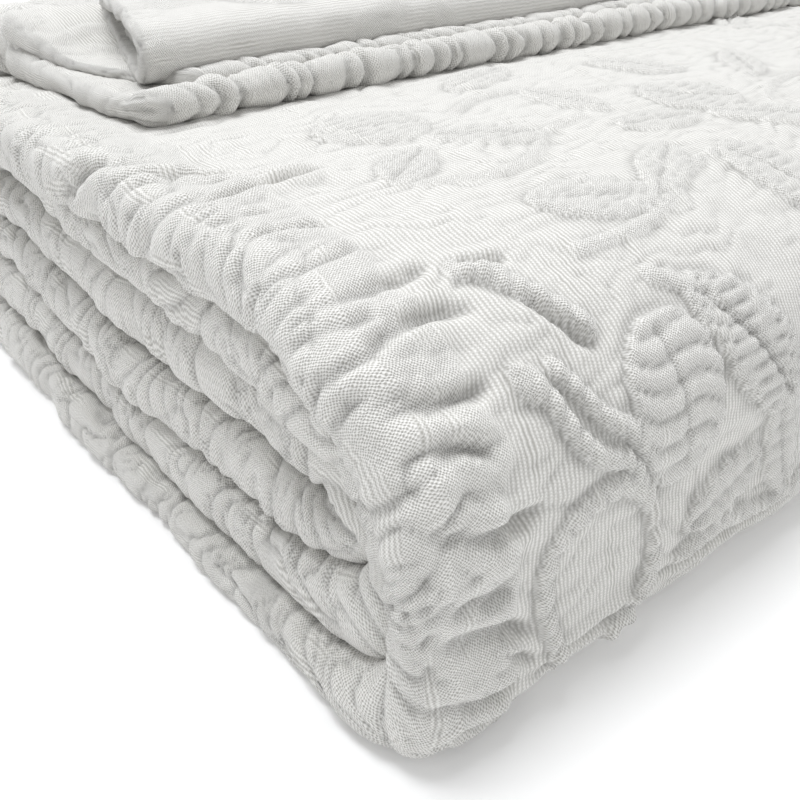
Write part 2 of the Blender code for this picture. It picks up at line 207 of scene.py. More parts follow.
class SlowField:
    """The bundle's slow unevenness, read from a coarse lattice of the same noise as its solid."""

    SWELL_STEPS = (0.13, 0.11)
    SWAY_STEPS = (0.12, 0.07)
    FRONT_REACH = 0.12
    FLOOR_REACH = 0.02
    FOOT_REACH = 0.06

    def __init__(self, size: BundleSize) -> None:
        """Fills the lattices.

        Args:
            size: The bundle's sizes.
        """
        self.size = size
        self.across = np.linspace(-0.36, 0.36, 145)
        self.back = np.linspace(-0.06, 0.44, 101)
        self.up = np.linspace(-0.02, 0.20, 45)
        across, back = self.SWELL_STEPS
        self.swell = np.array(
            [[noise.noise(Vector((x / across, y / back, 2.0))) for y in self.back] for x in self.across]
        )
        across, up = self.SWAY_STEPS
        self.sway = np.array(
            [[noise.noise(Vector((x / across, 5.0, z / up))) for z in self.up] for x in self.across]
        )

    def read(self, table: np.ndarray, axis: np.ndarray, x: np.ndarray, other: np.ndarray) -> np.ndarray:
        """A lattice's value between its points.

        Args:
            table: The lattice's values.
            axis: Places of its second axis.
            x: Places across the bundle.
            other: Places along its second axis.

        Returns:
            Interpolated values.
        """
        i = np.clip((x - self.across[0]) / (self.across[1] - self.across[0]), 0, len(self.across) - 1.001)
        j = np.clip((other - axis[0]) / (axis[1] - axis[0]), 0, len(axis) - 1.001)
        i0, j0 = i.astype(int), j.astype(int)
        a, b = i - i0, j - j0
        low = table[i0, j0] * (1 - a) + table[i0 + 1, j0] * a
        high = table[i0, j0 + 1] * (1 - a) + table[i0 + 1, j0 + 1] * a
        return low * (1 - b) + high * b

    def settle(self, points: np.ndarray) -> np.ndarray:
        """Makes even places uneven, as in the solid, and moves them to the row's frame.

        Args:
            points: Places (x, distance from the front, height).

        Returns:
            The places in the row's frame.
        """
        size = self.size
        x, y = points[..., 0], points[..., 1]
        z = points[..., 2] - size.layer_gap / 2
        swell = self.read(self.swell, self.back, x, y)
        sway = self.read(self.sway, self.up, x, z)
        front = np.maximum(0.0, 1 - y / self.FRONT_REACH)
        lift = np.clip(z / self.FLOOR_REACH, 0.0, 1.0)
        foot = size.foot_spread * np.maximum(0.0, 1 - z / size.foot_height)
        foot = foot * np.maximum(0.0, 1 - y / self.FOOT_REACH)
        moved = np.stack(
            [
                x - size.middle_x,
                y + size.front_sway * sway * front * lift - foot - size.middle_y,
                z * (1 + size.swell * swell),
            ],
            axis=-1,
        )
        return moved


@dataclass
class Rungs:
    """Closely spaced rungs across the band of four plies, from its inner end outwards."""

    inner: np.ndarray
    outer: np.ndarray
    left: np.ndarray
    right: np.ndarray
    along: np.ndarray

    def at(self, along: np.ndarray) -> "Rungs":
        """The rungs at other places along the band.

        Args:
            along: Distances along the band.

        Returns:
            Rungs read off between these ones.
        """

        def read(values: np.ndarray) -> np.ndarray:
            """One row of values at the other places."""
            return np.interp(along, self.along, values)

        inner = np.stack([read(self.inner[:, 0]), read(self.inner[:, 1])], axis=1)
        outer = np.stack([read(self.outer[:, 0]), read(self.outer[:, 1])], axis=1)
        return Rungs(inner, outer, read(self.left), read(self.right), np.asarray(along))


class WoundBand:
    """The way that the band takes: six layers, the turns between them and the end on top."""

    RUN_STEP = 0.004
    TURN_STEPS = 160

    def __init__(self, size: BundleSize) -> None:
        """Lays the band from its inner end to the top of its last turn.

        Args:
            size: The bundle's sizes.
        """
        self.size = size
        self.parts: list[tuple[np.ndarray, np.ndarray, np.ndarray, np.ndarray]] = []
        self.marks: dict[str, float] = {}
        self.lengths: list[float] = []
        back, front = size.back_turn, size.front_turn
        self.run("D", 3, 4, size.inner_end, front)
        self.turn(Face.FRONT, 0, "D", "C", False)
        self.run("C", 3, 2, front, back)
        self.turn(Face.BACK, 0, "C", "E", True)
        self.run("E", 4, 5, back, front)
        self.turn(Face.FRONT, 1, "E", "B", False)
        self.run("B", 2, 1, front, back)
        self.turn(Face.BACK, 1, "B", "F", True)
        self.run("F", 5, 6, back, front)
        self.turn(Face.FRONT, 2, "F", "A", False)
        self.run("A", 1, 0, front, back)
        self.turn(Face.BACK, 2, "A", None, True)
        self.rungs = self.joined()

    def height(self, line: int, from_front: np.ndarray) -> np.ndarray:
        """Height of one line between layers.

        Args:
            line: The line's number, from the floor up.
            from_front: Distances from the front face.

        Returns:
            Heights above the floor.
        """
        places, heights = np.array(HEIGHT_PLACES), np.array(LINE_HEIGHTS[line])
        from_front = np.asarray(from_front, float)
        i = np.clip(np.searchsorted(places, from_front) - 1, 0, len(places) - 2)
        t = np.clip((from_front - places[i]) / (places[i + 1] - places[i]), 0, 1)
        t = t * t * (3 - 2 * t)
        return heights[i] + (heights[i + 1] - heights[i]) * t

    def run(self, layer: str, inner_line: int, outer_line: int, start: float, end: float) -> None:
        """Adds one straight layer.

        Args:
            layer: The layer's letter.
            inner_line: The line on the band's inner side.
            outer_line: The line on its outer side.
            start: Where the layer starts, from the front face.
            end: Where it ends.
        """
        self.marks[layer] = self.reached()
        steps = max(2, round(abs(end - start) / self.RUN_STEP))
        place = np.linspace(start, end, steps + 1)
        inset = INSETS[layer]
        inner = np.stack([place, self.height(inner_line, place)], axis=1)
        outer = np.stack([place, self.height(outer_line, place)], axis=1)
        self.add(inner, outer, inset.left(place, self.size), np.full(len(place), inset.right))

    def turn(self, face: Face, ring: int, before: str, after: str | None, upward: bool) -> None:
        """Adds one turn.

        Args:
            face: Whether it goes round at the front or at the back.
            ring: Its number, from the innermost.
            before: The layer that it leaves.
            after: The layer that it leads to, or None for the end on top.
            upward: Whether it climbs.
        """
        self.marks[f"{face.value} {ring}"] = self.reached()
        share = np.linspace(0, 1, self.TURN_STEPS + 1)[1:]
        angle = math.pi * (share - 0.5) * (1 if upward else -1)
        place = self.size.front_turn if face is Face.FRONT else self.size.back_turn
        start, end = INSETS[before], INSETS[after] if after else HEM_INSET
        left = start.left(place, self.size) * (1 - share) + end.left(place, self.size) * share
        right = start.right * (1 - share) + end.right * share
        self.add(self.bend(face, ring, angle), self.bend(face, ring + 1, angle), left, right)

    def bend(self, face: Face, ring: int, angle: np.ndarray) -> np.ndarray:
        """Points on one nested turn.

        Args:
            face: Whether it goes round at the front or at the back.
            ring: Its number, from the innermost.
            angle: From a quarter turn below its tip to a quarter turn above.

        Returns:
            Its points (distance from the front, height).
        """
        size = self.size
        front = face is Face.FRONT
        turn = (FRONT_TURNS if front else BACK_TURNS)[ring]
        start = size.front_turn if front else size.back_turn
        low = self.height(DEEPEST_LINE - ring, start)
        upper = DEEPEST_LINE + ring + (0 if front else 1)
        high = size.end_top if upper >= len(LINE_HEIGHTS) else self.height(upper, start)
        tip = turn.tip if front else size.depth - turn.tip
        power = np.where(angle > 0, turn.upper_power, turn.lower_power)
        out = np.abs(np.cos(angle)) ** (2 / power)
        up = np.sign(angle) * np.abs(np.sin(angle)) ** (2 / power)
        return np.stack([start + (tip - start) * out, (low + high) / 2 + up * (high - low) / 2], axis=1)

    def add(self, inner: np.ndarray, outer: np.ndarray, left: np.ndarray, right: np.ndarray) -> None:
        """Adds rungs.

        Args:
            inner: Their ends on the band's inner side.
            outer: Their ends on its outer side.
            left: Their left insets.
            right: Their right insets.
        """
        self.parts.append((inner, outer, left, right))

    def joined(self) -> Rungs:
        """All rungs so far in one row, each one a little ahead of the last (no two in one place)."""
        inner, outer, left, right = (np.concatenate([p[i] for p in self.parts]) for i in range(4))
        centre = (inner + outer) / 2
        step = np.linalg.norm(np.diff(centre, axis=0), axis=1)
        keep = np.concatenate([[True], step > 1e-7])
        inner, outer, left, right = inner[keep], outer[keep], left[keep], right[keep]
        centre = (inner + outer) / 2
        step = np.linalg.norm(np.diff(centre, axis=0), axis=1)
        return Rungs(inner, outer, left, right, np.concatenate([[0], np.cumsum(step)]))

    def reached(self) -> float:
        """How far along the band the last rung stands."""
        return float(self.joined().along[-1]) if self.parts else 0.0


class Part(Enum):
    """The parts of the cloth across its width, in order from the hem of the outermost ply."""

    OUTER_HEM = "outer hem"
    FIRST = "first ply"
    OUTER_FOLD = "outer fold"
    FOURTH = "fourth ply"
    RIGHT_FOLD = "right fold"
    THIRD = "third ply"
    INNER_FOLD = "inner fold"
    SECOND = "second ply"
    INNER_HEM = "inner hem"


@dataclass(frozen=True)
class PlySize:
    """Where the four plies lie in the band, as shares of its thickness, and the sizes of their hems."""

    first: float = 0.99
    second: float = 0.66
    third: float = 0.34
    fourth: float = 0.01
    hem_width: float = 0.014
    hem_share: float = 0.13
    hem_flat: float = 0.75
    hem_nose: float = 0.0006
    inner_fold_back: float = 0.35
    second_back: float = 0.005
    squareness: float = 2.5


class Columns:
    """Lines along the cloth, side by side across part of its width."""

    def __init__(self, ply: PlySize) -> None:
        """Starts with no lines.

        Args:
            ply: Where the plies lie.
        """
        self.ply = ply
        self.parts: list[tuple[Part, np.ndarray]] = []

    def add(self, part: Part, shares: np.ndarray) -> "Columns":
        """Adds lines.

        Args:
            part: The part of the cloth that they are on.
            shares: How far across that part each one is.

        Returns:
            These columns.
        """
        self.parts.append((part, np.asarray(shares, float)))
        return self

    def place(
        self, part: Part, a: np.ndarray, left: np.ndarray, right: np.ndarray, half: np.ndarray
    ) -> tuple[np.ndarray, np.ndarray]:
        """Where one part's lines run.

        Args:
            part: The part of the cloth.
            a: Shares across it.
            left: Left edge at each rung.
            right: Right edge at each rung.
            half: Half the band's thickness at each rung.

        Returns:
            Places across the bundle, and shares of the band's thickness.
        """
        ply = self.ply
        left, right, half, a = left[:, None], right[:, None], half[:, None], a[None, :]
        small = half * (ply.third - ply.fourth)
        inner = left + half * ply.inner_fold_back
        second_end = right - ply.second_back
        turn = a * math.pi
        if part is Part.OUTER_HEM:
            tip = np.clip((a - ply.hem_flat) / (1 - ply.hem_flat), 0, 1)
            back = 1 - np.minimum(a / ply.hem_flat, 1)
            x = right - ply.hem_width * back + ply.hem_nose * np.sin(tip * math.pi)
            t = ply.first - ply.hem_share * (1 - tip)
        elif part is Part.FIRST:
            x, t = right + (left + half - right) * a, ply.first
        elif part is Part.OUTER_FOLD:
            power = 2 / ply.squareness
            x = left + half * (1 - np.sin(turn) ** power)
            t = 0.5 + (ply.first - 0.5) * np.sign(np.cos(turn)) * np.abs(np.cos(turn)) ** power
        elif part is Part.FOURTH:
            x, t = left + half + (right - small - left - half) * a, ply.fourth
        elif part is Part.RIGHT_FOLD:
            x = right - small * (1 - np.sin(turn))
            t = (ply.third + ply.fourth) / 2 - (ply.third - ply.fourth) / 2 * np.cos(turn)
        elif part is Part.THIRD:
            x, t = right - small + (inner + small - right + small) * a, ply.third
        elif part is Part.INNER_FOLD:
            x = inner + small * (1 - np.sin(turn))
            t = 0.5 - (ply.second - 0.5) * np.cos(turn)
        elif part is Part.SECOND:
            x, t = inner + small + (second_end - inner - small) * a, ply.second
        else:
            tip = np.clip(1 - a / (1 - ply.hem_flat), 0, 1)
            back = np.clip((a - (1 - ply.hem_flat)) / ply.hem_flat, 0, 1)
            x = second_end - ply.hem_width * back + ply.hem_nose * np.sin(tip * math.pi)
            t = ply.second - ply.hem_share * (1 - tip)
        shape = np.broadcast_shapes(x.shape, half.shape, a.shape)
        return np.broadcast_to(x, shape), np.broadcast_to(t, shape)

    def spread(
        self, left: np.ndarray, right: np.ndarray, half: np.ndarray
    ) -> tuple[np.ndarray, np.ndarray]:
        """Where all lines run.

        Args:
            left: Left edge at each rung.
            right: Right edge at each rung.
            half: Half the band's thickness at each rung.

        Returns:
            Places across the bundle, and shares of the band's thickness, one row a rung.
        """
        found = [self.place(part, a, left, right, half) for part, a in self.parts]
        return np.concatenate([x for x, _ in found], axis=1), np.concatenate([t for _, t in found], axis=1)

    def from_right(self, ply: float, fold: float, half: float) -> np.ndarray:
        """How far each line is from the bundle's right edge, the same above and below.

        Args:
            ply: How wide a ply is.
            fold: How wide the outer fold is.
            half: Half the band's thickness.

        Returns:
            The distances along the cloth.
        """
        far = []
        small = half * (self.ply.third - self.ply.fourth)
        for part, a in self.parts:
            if part in (Part.FIRST, Part.THIRD):
                far.append(ply * a)
            elif part in (Part.FOURTH, Part.SECOND):
                far.append(ply * (1 - a) + small * a)
            elif part is Part.OUTER_FOLD:
                far.append(ply + fold * np.minimum(a, 1 - a))
            else:
                far.append(np.zeros(len(a)))
        return np.concatenate(far)

    def has(self, part: Part) -> np.ndarray:
        """Which lines are on a part of the cloth."""
        return np.concatenate([np.full(len(a), own is part) for own, a in self.parts])


def graded(start: float, end: float, first: float, last: float) -> np.ndarray:
    """Places whose spacing grows evenly from one end to the other.

    Args:
        start: The first place.
        end: The last place.
        first: The spacing at the start.
        last: The spacing at the end.

    Returns:
        The places, both ends included.
    """
    count = max(2, round(2 * abs(end - start) / (first + last)))
    steps = np.linspace(first, last, count)
    return start + (end - start) * np.concatenate([[0], np.cumsum(steps)]) / steps.sum()


def smooth(value: np.ndarray) -> np.ndarray:
    """A soft step from 0 to 1 as the value goes from 0 to 1."""
    value = np.clip(value, 0.0, 1.0)
    return value * value * (3 - 2 * value)


@dataclass
class Relief:
    """The relief being raised over a stretch: places on the cloth, how raised its weave is, its height."""

    x: np.ndarray
    s: np.ndarray
    raised: np.ndarray
    height: np.ndarray

    @staticmethod
    def over(x: np.ndarray, s: np.ndarray) -> "Relief":
        """A flat relief over these places."""
        return Relief(x, s, np.zeros(x.shape), np.zeros(x.shape))

    def blend(self, other: "Relief", share: np.ndarray) -> None:
        """Turns this relief into another where the share grows from 0 to 1.

        Args:
            other: The other relief.
            share: The other one's share at each place.
        """
        self.height = self.height * (1 - share) + other.height * share
        self.raised = self.raised * (1 - share) + other.raised * share


@dataclass(frozen=True)
class Leaf:
    """A raised leaf or round, puckered across, with a vein along its middle."""

    x: float
    s: float
    length: float
    width: float
    lean: float
    point: float = 1.6
    height: float = 0.0018
    rib_pitch: float = 0.0050
    rib_height: float = 0.0007
    vein: float = 0.0008
    toothed: float = 0.0
    tooth: float = 0.0035
    rim: float = 0.0016
    vein_width: float = 0.0009
    vein_reach: float = 0.86

    def raise_on(self, relief: Relief) -> None:
        """Raises the leaf.

        Args:
            relief: The relief that it is added to.
        """
        reach = self.length * 0.7
        near = (abs(relief.x - self.x) < reach) & (abs(relief.s - self.s) < reach)
        if not near.any():
            return
        lean = math.radians(self.lean)
        dx, ds = relief.x[near] - self.x, relief.s[near] - self.s
        u = (dx * math.cos(lean) + ds * math.sin(lean)) / (self.length / 2)
        v = (ds * math.cos(lean) - dx * math.sin(lean)) / (self.width / 2)
        bound = np.maximum(1 - np.abs(u) ** self.point, 0.0)
        bound = np.sqrt(bound) * (1 + self.toothed * np.sin(u * self.length / 2 / self.tooth * math.pi))
        inside = (bound - np.abs(v)) * self.width / 2
        mask = smooth(inside / self.rim)
        ribs = np.abs(np.cos(math.pi * ds / self.rib_pitch + 2.0 * v + 1.2 * np.sin(dx / 0.006))) ** 0.8
        line = np.exp(-((v * self.width / 2 / self.vein_width) ** 2)) * (np.abs(u) < self.vein_reach)
        height = mask * (self.height + self.rib_height * (ribs - 0.6) - self.vein * line)
        relief.height[near] = np.maximum(relief.height[near], height)
        relief.raised[near] = np.maximum(relief.raised[near], mask)


@dataclass(frozen=True)
class Cord:
    """A raised puffed line along a smooth curve through its points."""

    points: tuple[tuple[float, float], ...]
    width: float = 0.0045
    height: float = 0.0019
    puff_pitch: float = 0.0052
    puff: float = 0.45
    roundness: float = 1.1
    twist: float = 0.6

    def curve(self) -> np.ndarray:
        """The smooth curve through the points, as closely spaced places."""
        knots = np.array(self.points, float)
        ends = np.concatenate([[2 * knots[0] - knots[1]], knots, [2 * knots[-1] - knots[-2]]])
        t = np.linspace(0, 1, 9)[:, None]
        found = []
        for a, b, c, d in zip(ends, ends[1:], ends[2:], ends[3:]):
            cubic = (-a + 3 * b - 3 * c + d) * t**3 + (2 * a - 5 * b + 4 * c - d) * t**2
            found.append(0.5 * (cubic + (c - a) * t + 2 * b)[:-1])
        return np.concatenate([*found, knots[-1:]])

    def raise_on(self, relief: Relief) -> None:
        """Raises the line.

        Args:
            relief: The relief that it is added to.
        """
        line = self.curve()
        low, high = line.min(0) - self.width, line.max(0) + self.width
        near = (relief.x > low[0]) & (relief.x < high[0]) & (relief.s > low[1]) & (relief.s < high[1])
        if not near.any():
            return
        x, s = relief.x[near], relief.s[near]
        best, run, side = np.full(x.shape, np.inf), np.zeros(x.shape), np.zeros(x.shape)
        reached = 0.0
        for a, b in zip(line, line[1:]):
            span = b - a
            length = float(np.hypot(*span))
            share = np.clip(((x - a[0]) * span[0] + (s - a[1]) * span[1]) / max(length**2, 1e-12), 0, 1)
            off = np.hypot(x - a[0] - span[0] * share, s - a[1] - span[1] * share)
            signed = ((x - a[0]) * span[1] - (s - a[1]) * span[0]) / max(length, 1e-9)
            closer = off < best
            run = np.where(closer, reached + share * length, run)
            best, side = np.where(closer, off, best), np.where(closer, signed, side)
            reached += length
        across = best / (self.width / 2)
        mask = smooth((1.15 - across) / 0.4)
        round_top = np.sqrt(np.clip(1 - (across / 1.25) ** 2, 0, 1))
        twist = (run + self.twist * side) / self.puff_pitch
        height = mask * round_top * self.height * (1 - self.puff + self.puff * puffs(twist, self.roundness))
        relief.height[near] = np.maximum(relief.height[near], height)
        relief.raised[near] = np.maximum(relief.raised[near], mask)


@dataclass(frozen=True)
class Crease:
    """A soft trough along a bent line, or a ridge where its depth is below nought."""

    x: float
    s: float
    length: float
    lean: float
    width: float
    depth: float
    bend: float = 0.0

    def press(self, relief: Relief, strength: float) -> None:
        """Presses the crease in.

        Args:
            relief: The relief that it is added to.
            strength: How many times its own depth it is pressed.
        """
        reach = self.length * 0.75 + self.width * 2
        near = (abs(relief.x - self.x) < reach) & (abs(relief.s - self.s) < reach)
        if not near.any():
            return
        lean = math.radians(self.lean)
        dx, ds = relief.x[near] - self.x, relief.s[near] - self.s
        u = dx * math.cos(lean) + ds * math.sin(lean)
        v = ds * math.cos(lean) - dx * math.sin(lean) - self.bend * (1 - (2 * u / self.length) ** 2)
        fade = smooth((1 - np.abs(2 * u / self.length)) / 0.45)
        trough = np.exp(-((v / self.width) ** 2))
        shoulder = 0.35 * np.exp(-(((np.abs(v) - 2.2 * self.width) / (1.4 * self.width)) ** 2))
        relief.height[near] -= strength * self.depth * fade * (trough - shoulder)


def hollows(height: np.ndarray, rounds: int = 5, depth: float = 0.0007) -> np.ndarray:
    """How far each point lies in a hollow of the relief, from 0 to 1.

    Args:
        height: Heights by rung and line.
        rounds: How many times the heights are averaged with their neighbours.
        depth: The depth that counts as full.

    Returns:
        The hollows.
    """
    mean = height
    for _ in range(rounds):
        wide = np.pad(mean, 1, mode="edge")
        mean = (wide[:-2, 1:-1] + wide[2:, 1:-1] + wide[1:-1, :-2] + wide[1:-1, 2:]) / 4
    return np.clip((mean - height) / depth, 0.0, 1.0)


def puffs(phase: np.ndarray, power: float = 0.7) -> np.ndarray:
    """Rounded puffs between narrow valleys, one for each whole step of the phase, from 0 to 1."""
    return np.abs(np.sin(math.pi * phase)) ** power


@dataclass(frozen=True)
class PuckerSize:
    """One kind of pucker: its spacing, how far it wanders, its height and where its noise is read."""

    pitch: float
    wander: float
    height: float
    shift: float = 0.0


class Puckers:
    """The cloth's own puckers, which come and go, and the finer ones round its folded edges."""

    EDGE_PITCH = 0.0068
    EDGE_WIDE_PITCH = 0.0185
    EDGE_SHARE = 0.8

    def __init__(self, seed: int) -> None:
        """Makes the noises.

        Args:
            seed: The number of this stretch.
        """
        self.bend = GradientNoise(seed)
        self.strength = GradientNoise(seed + 1)
        self.pace = GradientNoise(seed + 2)

    def across(self, x: np.ndarray, s: np.ndarray, *sizes: PuckerSize) -> np.ndarray:
        """Puckers that run across the bundle.

        Args:
            x: Places across it.
            s: Places along the cloth.
            sizes: The kinds of pucker, one laid over another.

        Returns:
            Their height.
        """
        total = np.zeros(x.shape)
        for size in sizes:
            place = s + size.shift
            phase = place / size.pitch + size.wander * self.bend.at(x / 0.030, place / 0.018)
            phase = phase + 0.35 * size.wander * self.pace.at(x / 0.011, place / 0.009)
            fade = 0.5 + 0.9 * self.strength.at(x / 0.022, place / 0.013)
            total = total + puffs(phase) * np.clip(fade, 0.0, 1.0) * size.height
        return total

    def round_fold(self, flat: np.ndarray, s: np.ndarray) -> np.ndarray:
        """Ribs that run round a folded edge, three to seven millimetres apart.

        Args:
            flat: Places across the cloth.
            s: Places along it.

        Returns:
            Heights from -1 to 1.
        """
        phase = s / self.EDGE_PITCH + 1.9 * self.pace.at(s / 0.019, 0.3)
        phase = phase + 1.3 * self.bend.at(flat / 0.016, s / 0.011)
        wide = s / self.EDGE_WIDE_PITCH + 1.4 * self.bend.at(flat / 0.030, s / 0.024 + 7.0)
        fade = np.clip(0.60 + 1.0 * self.strength.at(flat / 0.014, s / 0.016), 0.0, 1.0)
        fine = (puffs(phase, 0.65) - 0.65) * fade
        return self.EDGE_SHARE * fine + self.EDGE_SHARE * (puffs(wide, 0.65) - 0.7)


class Pattern:
    """The woven pattern and the creases of the cloth that shows on the top and the front."""

    BORDER_EDGE = -0.271
    BORDER_SWAY = 0.006
    BORDER_BLEND = 0.006
    BORDER_RISE = 0.0008
    BORDER_PUCKERS = (PuckerSize(0.0100, 0.8, 0.0024), PuckerSize(0.0042, 1.0, 0.0013, 0.3))
    GROUND_PUCKERS = (PuckerSize(0.0090, 1.2, 0.0010, 0.7), PuckerSize(0.0042, 1.0, 0.0005, 0.9))
    CALM_SHARE = 0.42
    WAVE = 0.0007
    RIPPLE = 0.0004
    BEYOND = 0.048
    BEYOND_BLEND = 0.010
    PLAIN_ON_TOP = 0.12
    PLAIN_IN_FRONT = 0.54
    HEM_BAND = 0.128
    HEM_BAND_SHARE = 0.6
    RISE = 1.5
    CREASING = 2.1
    FORMS = (
        Leaf(-0.207, 0.080, 0.043, 0.038, 80, 2.6, 0.0019, 0.0068, 0.0010),
        Leaf(-0.1705, 0.076, 0.060, 0.027, 46, 1.9, 0.0018, 0.0050, 0.0010, 0.0012, 0.05),
        Leaf(-0.1800, 0.112, 0.040, 0.016, -14, 1.5, 0.0017, 0.0050, 0.0007, 0.0009, 0.12),
        Leaf(-0.2560, 0.063, 0.014, 0.009, 40, 2.0, 0.0016),
        Cord(((-0.2545, 0.131), (-0.2585, 0.116), (-0.2570, 0.104), (-0.2480, 0.097), (-0.2360, 0.094),
              (-0.2235, 0.097), (-0.2150, 0.105), (-0.2140, 0.116), (-0.2190, 0.127), (-0.2300, 0.135)),
             0.0060, 0.0029, 0.0062),
        Cord(((-0.2560, 0.062), (-0.2510, 0.069), (-0.2470, 0.078), (-0.2390, 0.085), (-0.2290, 0.089),
              (-0.2230, 0.096)), 0.0052, 0.0029, 0.0060),
        Cord(((-0.2480, 0.061), (-0.2420, 0.069), (-0.2360, 0.077), (-0.2280, 0.082), (-0.2215, 0.090)),
             0.0048, 0.0028, 0.0056),
        Cord(((-0.2540, 0.030), (-0.2465, 0.034), (-0.2380, 0.045), (-0.2300, 0.056)), 0.0064, 0.0024),
        Cord(((-0.1990, 0.050), (-0.1900, 0.055), (-0.1800, 0.060)), 0.0060, 0.0018),
        Leaf(-0.150, 0.110, 0.036, 0.018, 70, 1.7, 0.0016),
        Leaf(-0.128, 0.075, 0.038, 0.020, 120, 1.7, 0.0016),
        Cord(((-0.200, 0.126), (-0.184, 0.122), (-0.166, 0.124), (-0.146, 0.128), (-0.128, 0.122)), 0.0055),
        Leaf(-0.108, 0.104, 0.040, 0.020, 30, 1.6, 0.0016, toothed=0.08),
        Leaf(-0.190, 0.020, 0.046, 0.022, 15, 1.7, 0.0014),
        Leaf(-0.150, 0.016, 0.040, 0.019, -30, 1.7, 0.0014),
        Cord(((-0.215, 0.036), (-0.190, 0.036), (-0.165, 0.030), (-0.140, 0.020), (-0.112, 0.016)),
             0.0050, 0.0014),
        Leaf(-0.110, 0.036, 0.044, 0.026, 60, 2.2, 0.0016),
        Leaf(-0.072, 0.058, 0.046, 0.022, 20, 1.7, 0.0017),
        Cord(((-0.100, 0.058), (-0.080, 0.078), (-0.060, 0.088), (-0.036, 0.086), (-0.016, 0.074)), 0.0050),
        Leaf(-0.040, 0.104, 0.040, 0.034, 70, 2.4, 0.0018),
        Leaf(-0.030, 0.040, 0.044, 0.021, -40, 1.7, 0.0016),
        Leaf(-0.070, 0.006, 0.044, 0.020, 40, 1.7, 0.0014),
        Cord(((-0.230, -0.012), (-0.205, -0.006), (-0.180, -0.012), (-0.158, -0.026), (-0.134, -0.030)),
             0.0048, 0.0012),
        Leaf(-0.222, -0.026, 0.038, 0.018, -30, 1.7, 0.0012),
        Leaf(-0.178, -0.034, 0.042, 0.020, 25, 1.7, 0.0012),
        Leaf(-0.205, -0.064, 0.044, 0.032, 15, 2.3, 0.0012),
        Cord(((-0.170, -0.060), (-0.148, -0.070), (-0.124, -0.066), (-0.106, -0.052), (-0.084, -0.046)),
             0.0048, 0.0012),
        Leaf(-0.124, -0.048, 0.038, 0.018, 75, 1.7, 0.0012),
        Leaf(-0.130, -0.090, 0.044, 0.020, -15, 1.7, 0.0012),
        Leaf(-0.112, -0.012, 0.040, 0.019, 10, 1.7, 0.0013),
        Leaf(-0.076, -0.024, 0.042, 0.032, 40, 2.3, 0.0013),
        Leaf(-0.058, -0.066, 0.044, 0.020, 50, 1.7, 0.0013),
        Cord(((-0.050, -0.006), (-0.026, -0.018), (-0.004, -0.020), (0.018, -0.010), (0.040, -0.008)),
             0.0048, 0.0013),
        Leaf(-0.010, -0.044, 0.042, 0.020, -50, 1.7, 0.0013),
        Leaf(0.010, 0.012, 0.044, 0.021, 35, 1.7, 0.0014),
        Leaf(0.006, 0.060, 0.044, 0.030, 20, 2.3, 0.0016),
        Leaf(0.030, 0.098, 0.044, 0.021, 60, 1.7, 0.0016),
    )
    CREASES = (
        Crease(-0.272, -0.040, 0.066, -2, 0.0021, 0.0018, 0.003),
        Crease(-0.290, -0.066, 0.038, 32, 0.0022, 0.0026, -0.002),
        Crease(-0.283, -0.056, 0.040, 18, 0.0019, 0.0019, -0.003),
        Crease(-0.268, -0.048, 0.040, 6, 0.0012, 0.0006, 0.002),
        Crease(-0.297, -0.094, 0.036, 50, 0.0026, 0.0030, 0.003),
        Crease(-0.302, -0.103, 0.030, 60, 0.0023, 0.0024, 0.002),
        Crease(-0.292, -0.020, 0.030, 12, 0.0018, 0.0012, -0.003),
        Crease(-0.286, -0.004, 0.036, 10, 0.0018, 0.0014, -0.003),
        Crease(-0.288, 0.011, 0.036, 4, 0.0017, 0.0014, 0.003),
        Crease(-0.278, 0.026, 0.044, -4, 0.0019, 0.0014, 0.002),
        Crease(-0.292, 0.034, 0.026, 14, 0.0016, 0.0013, 0.0),
        Crease(-0.276, 0.043, 0.044, -3, 0.0020, 0.0015, -0.003),
        Crease(-0.282, 0.057, 0.036, 8, 0.0019, 0.0015, 0.002),
        Crease(-0.286, 0.071, 0.030, 14, 0.0018, 0.0015, -0.003),
        Crease(-0.277, 0.086, 0.040, 12, 0.0022, 0.0019, 0.003),
        Crease(-0.283, 0.100, 0.030, 8, 0.0018, 0.0015, 0.002),
        Crease(-0.279, 0.113, 0.036, 16, 0.0021, 0.0018, -0.003),
        Crease(-0.284, 0.125, 0.030, 10, 0.0020, 0.0018, 0.002),
        Crease(-0.270, 0.121, 0.020, 40, 0.0016, 0.0011, 0.0),
        Crease(-0.276, 0.136, 0.040, 6, 0.0022, 0.0020, 0.002),
        Crease(-0.272, 0.146, 0.036, 0, 0.0020, 0.0016, 0.0),
        Crease(-0.245, 0.030, 0.020, 10, 0.0016, 0.0012, 0.0),
        Crease(-0.236, 0.052, 0.026, 60, 0.0014, 0.0010, 0.002),
        Crease(-0.235, 0.129, 0.070, -3, 0.0014, 0.0011, 0.002),
        Crease(-0.309, -0.050, 0.060, 84, 0.0022, 0.0034, 0.004),
        Crease(-0.313, 0.022, 0.052, 84, 0.0022, 0.0030, -0.004),
        Crease(-0.170, 0.131, 0.080, 3, 0.0014, 0.0011, -0.002),
    )

    def __init__(self) -> None:
        """Makes the noises."""
        self.puckers = Puckers(11)
        self.edge = GradientNoise(21)
        self.wave = GradientNoise(22)

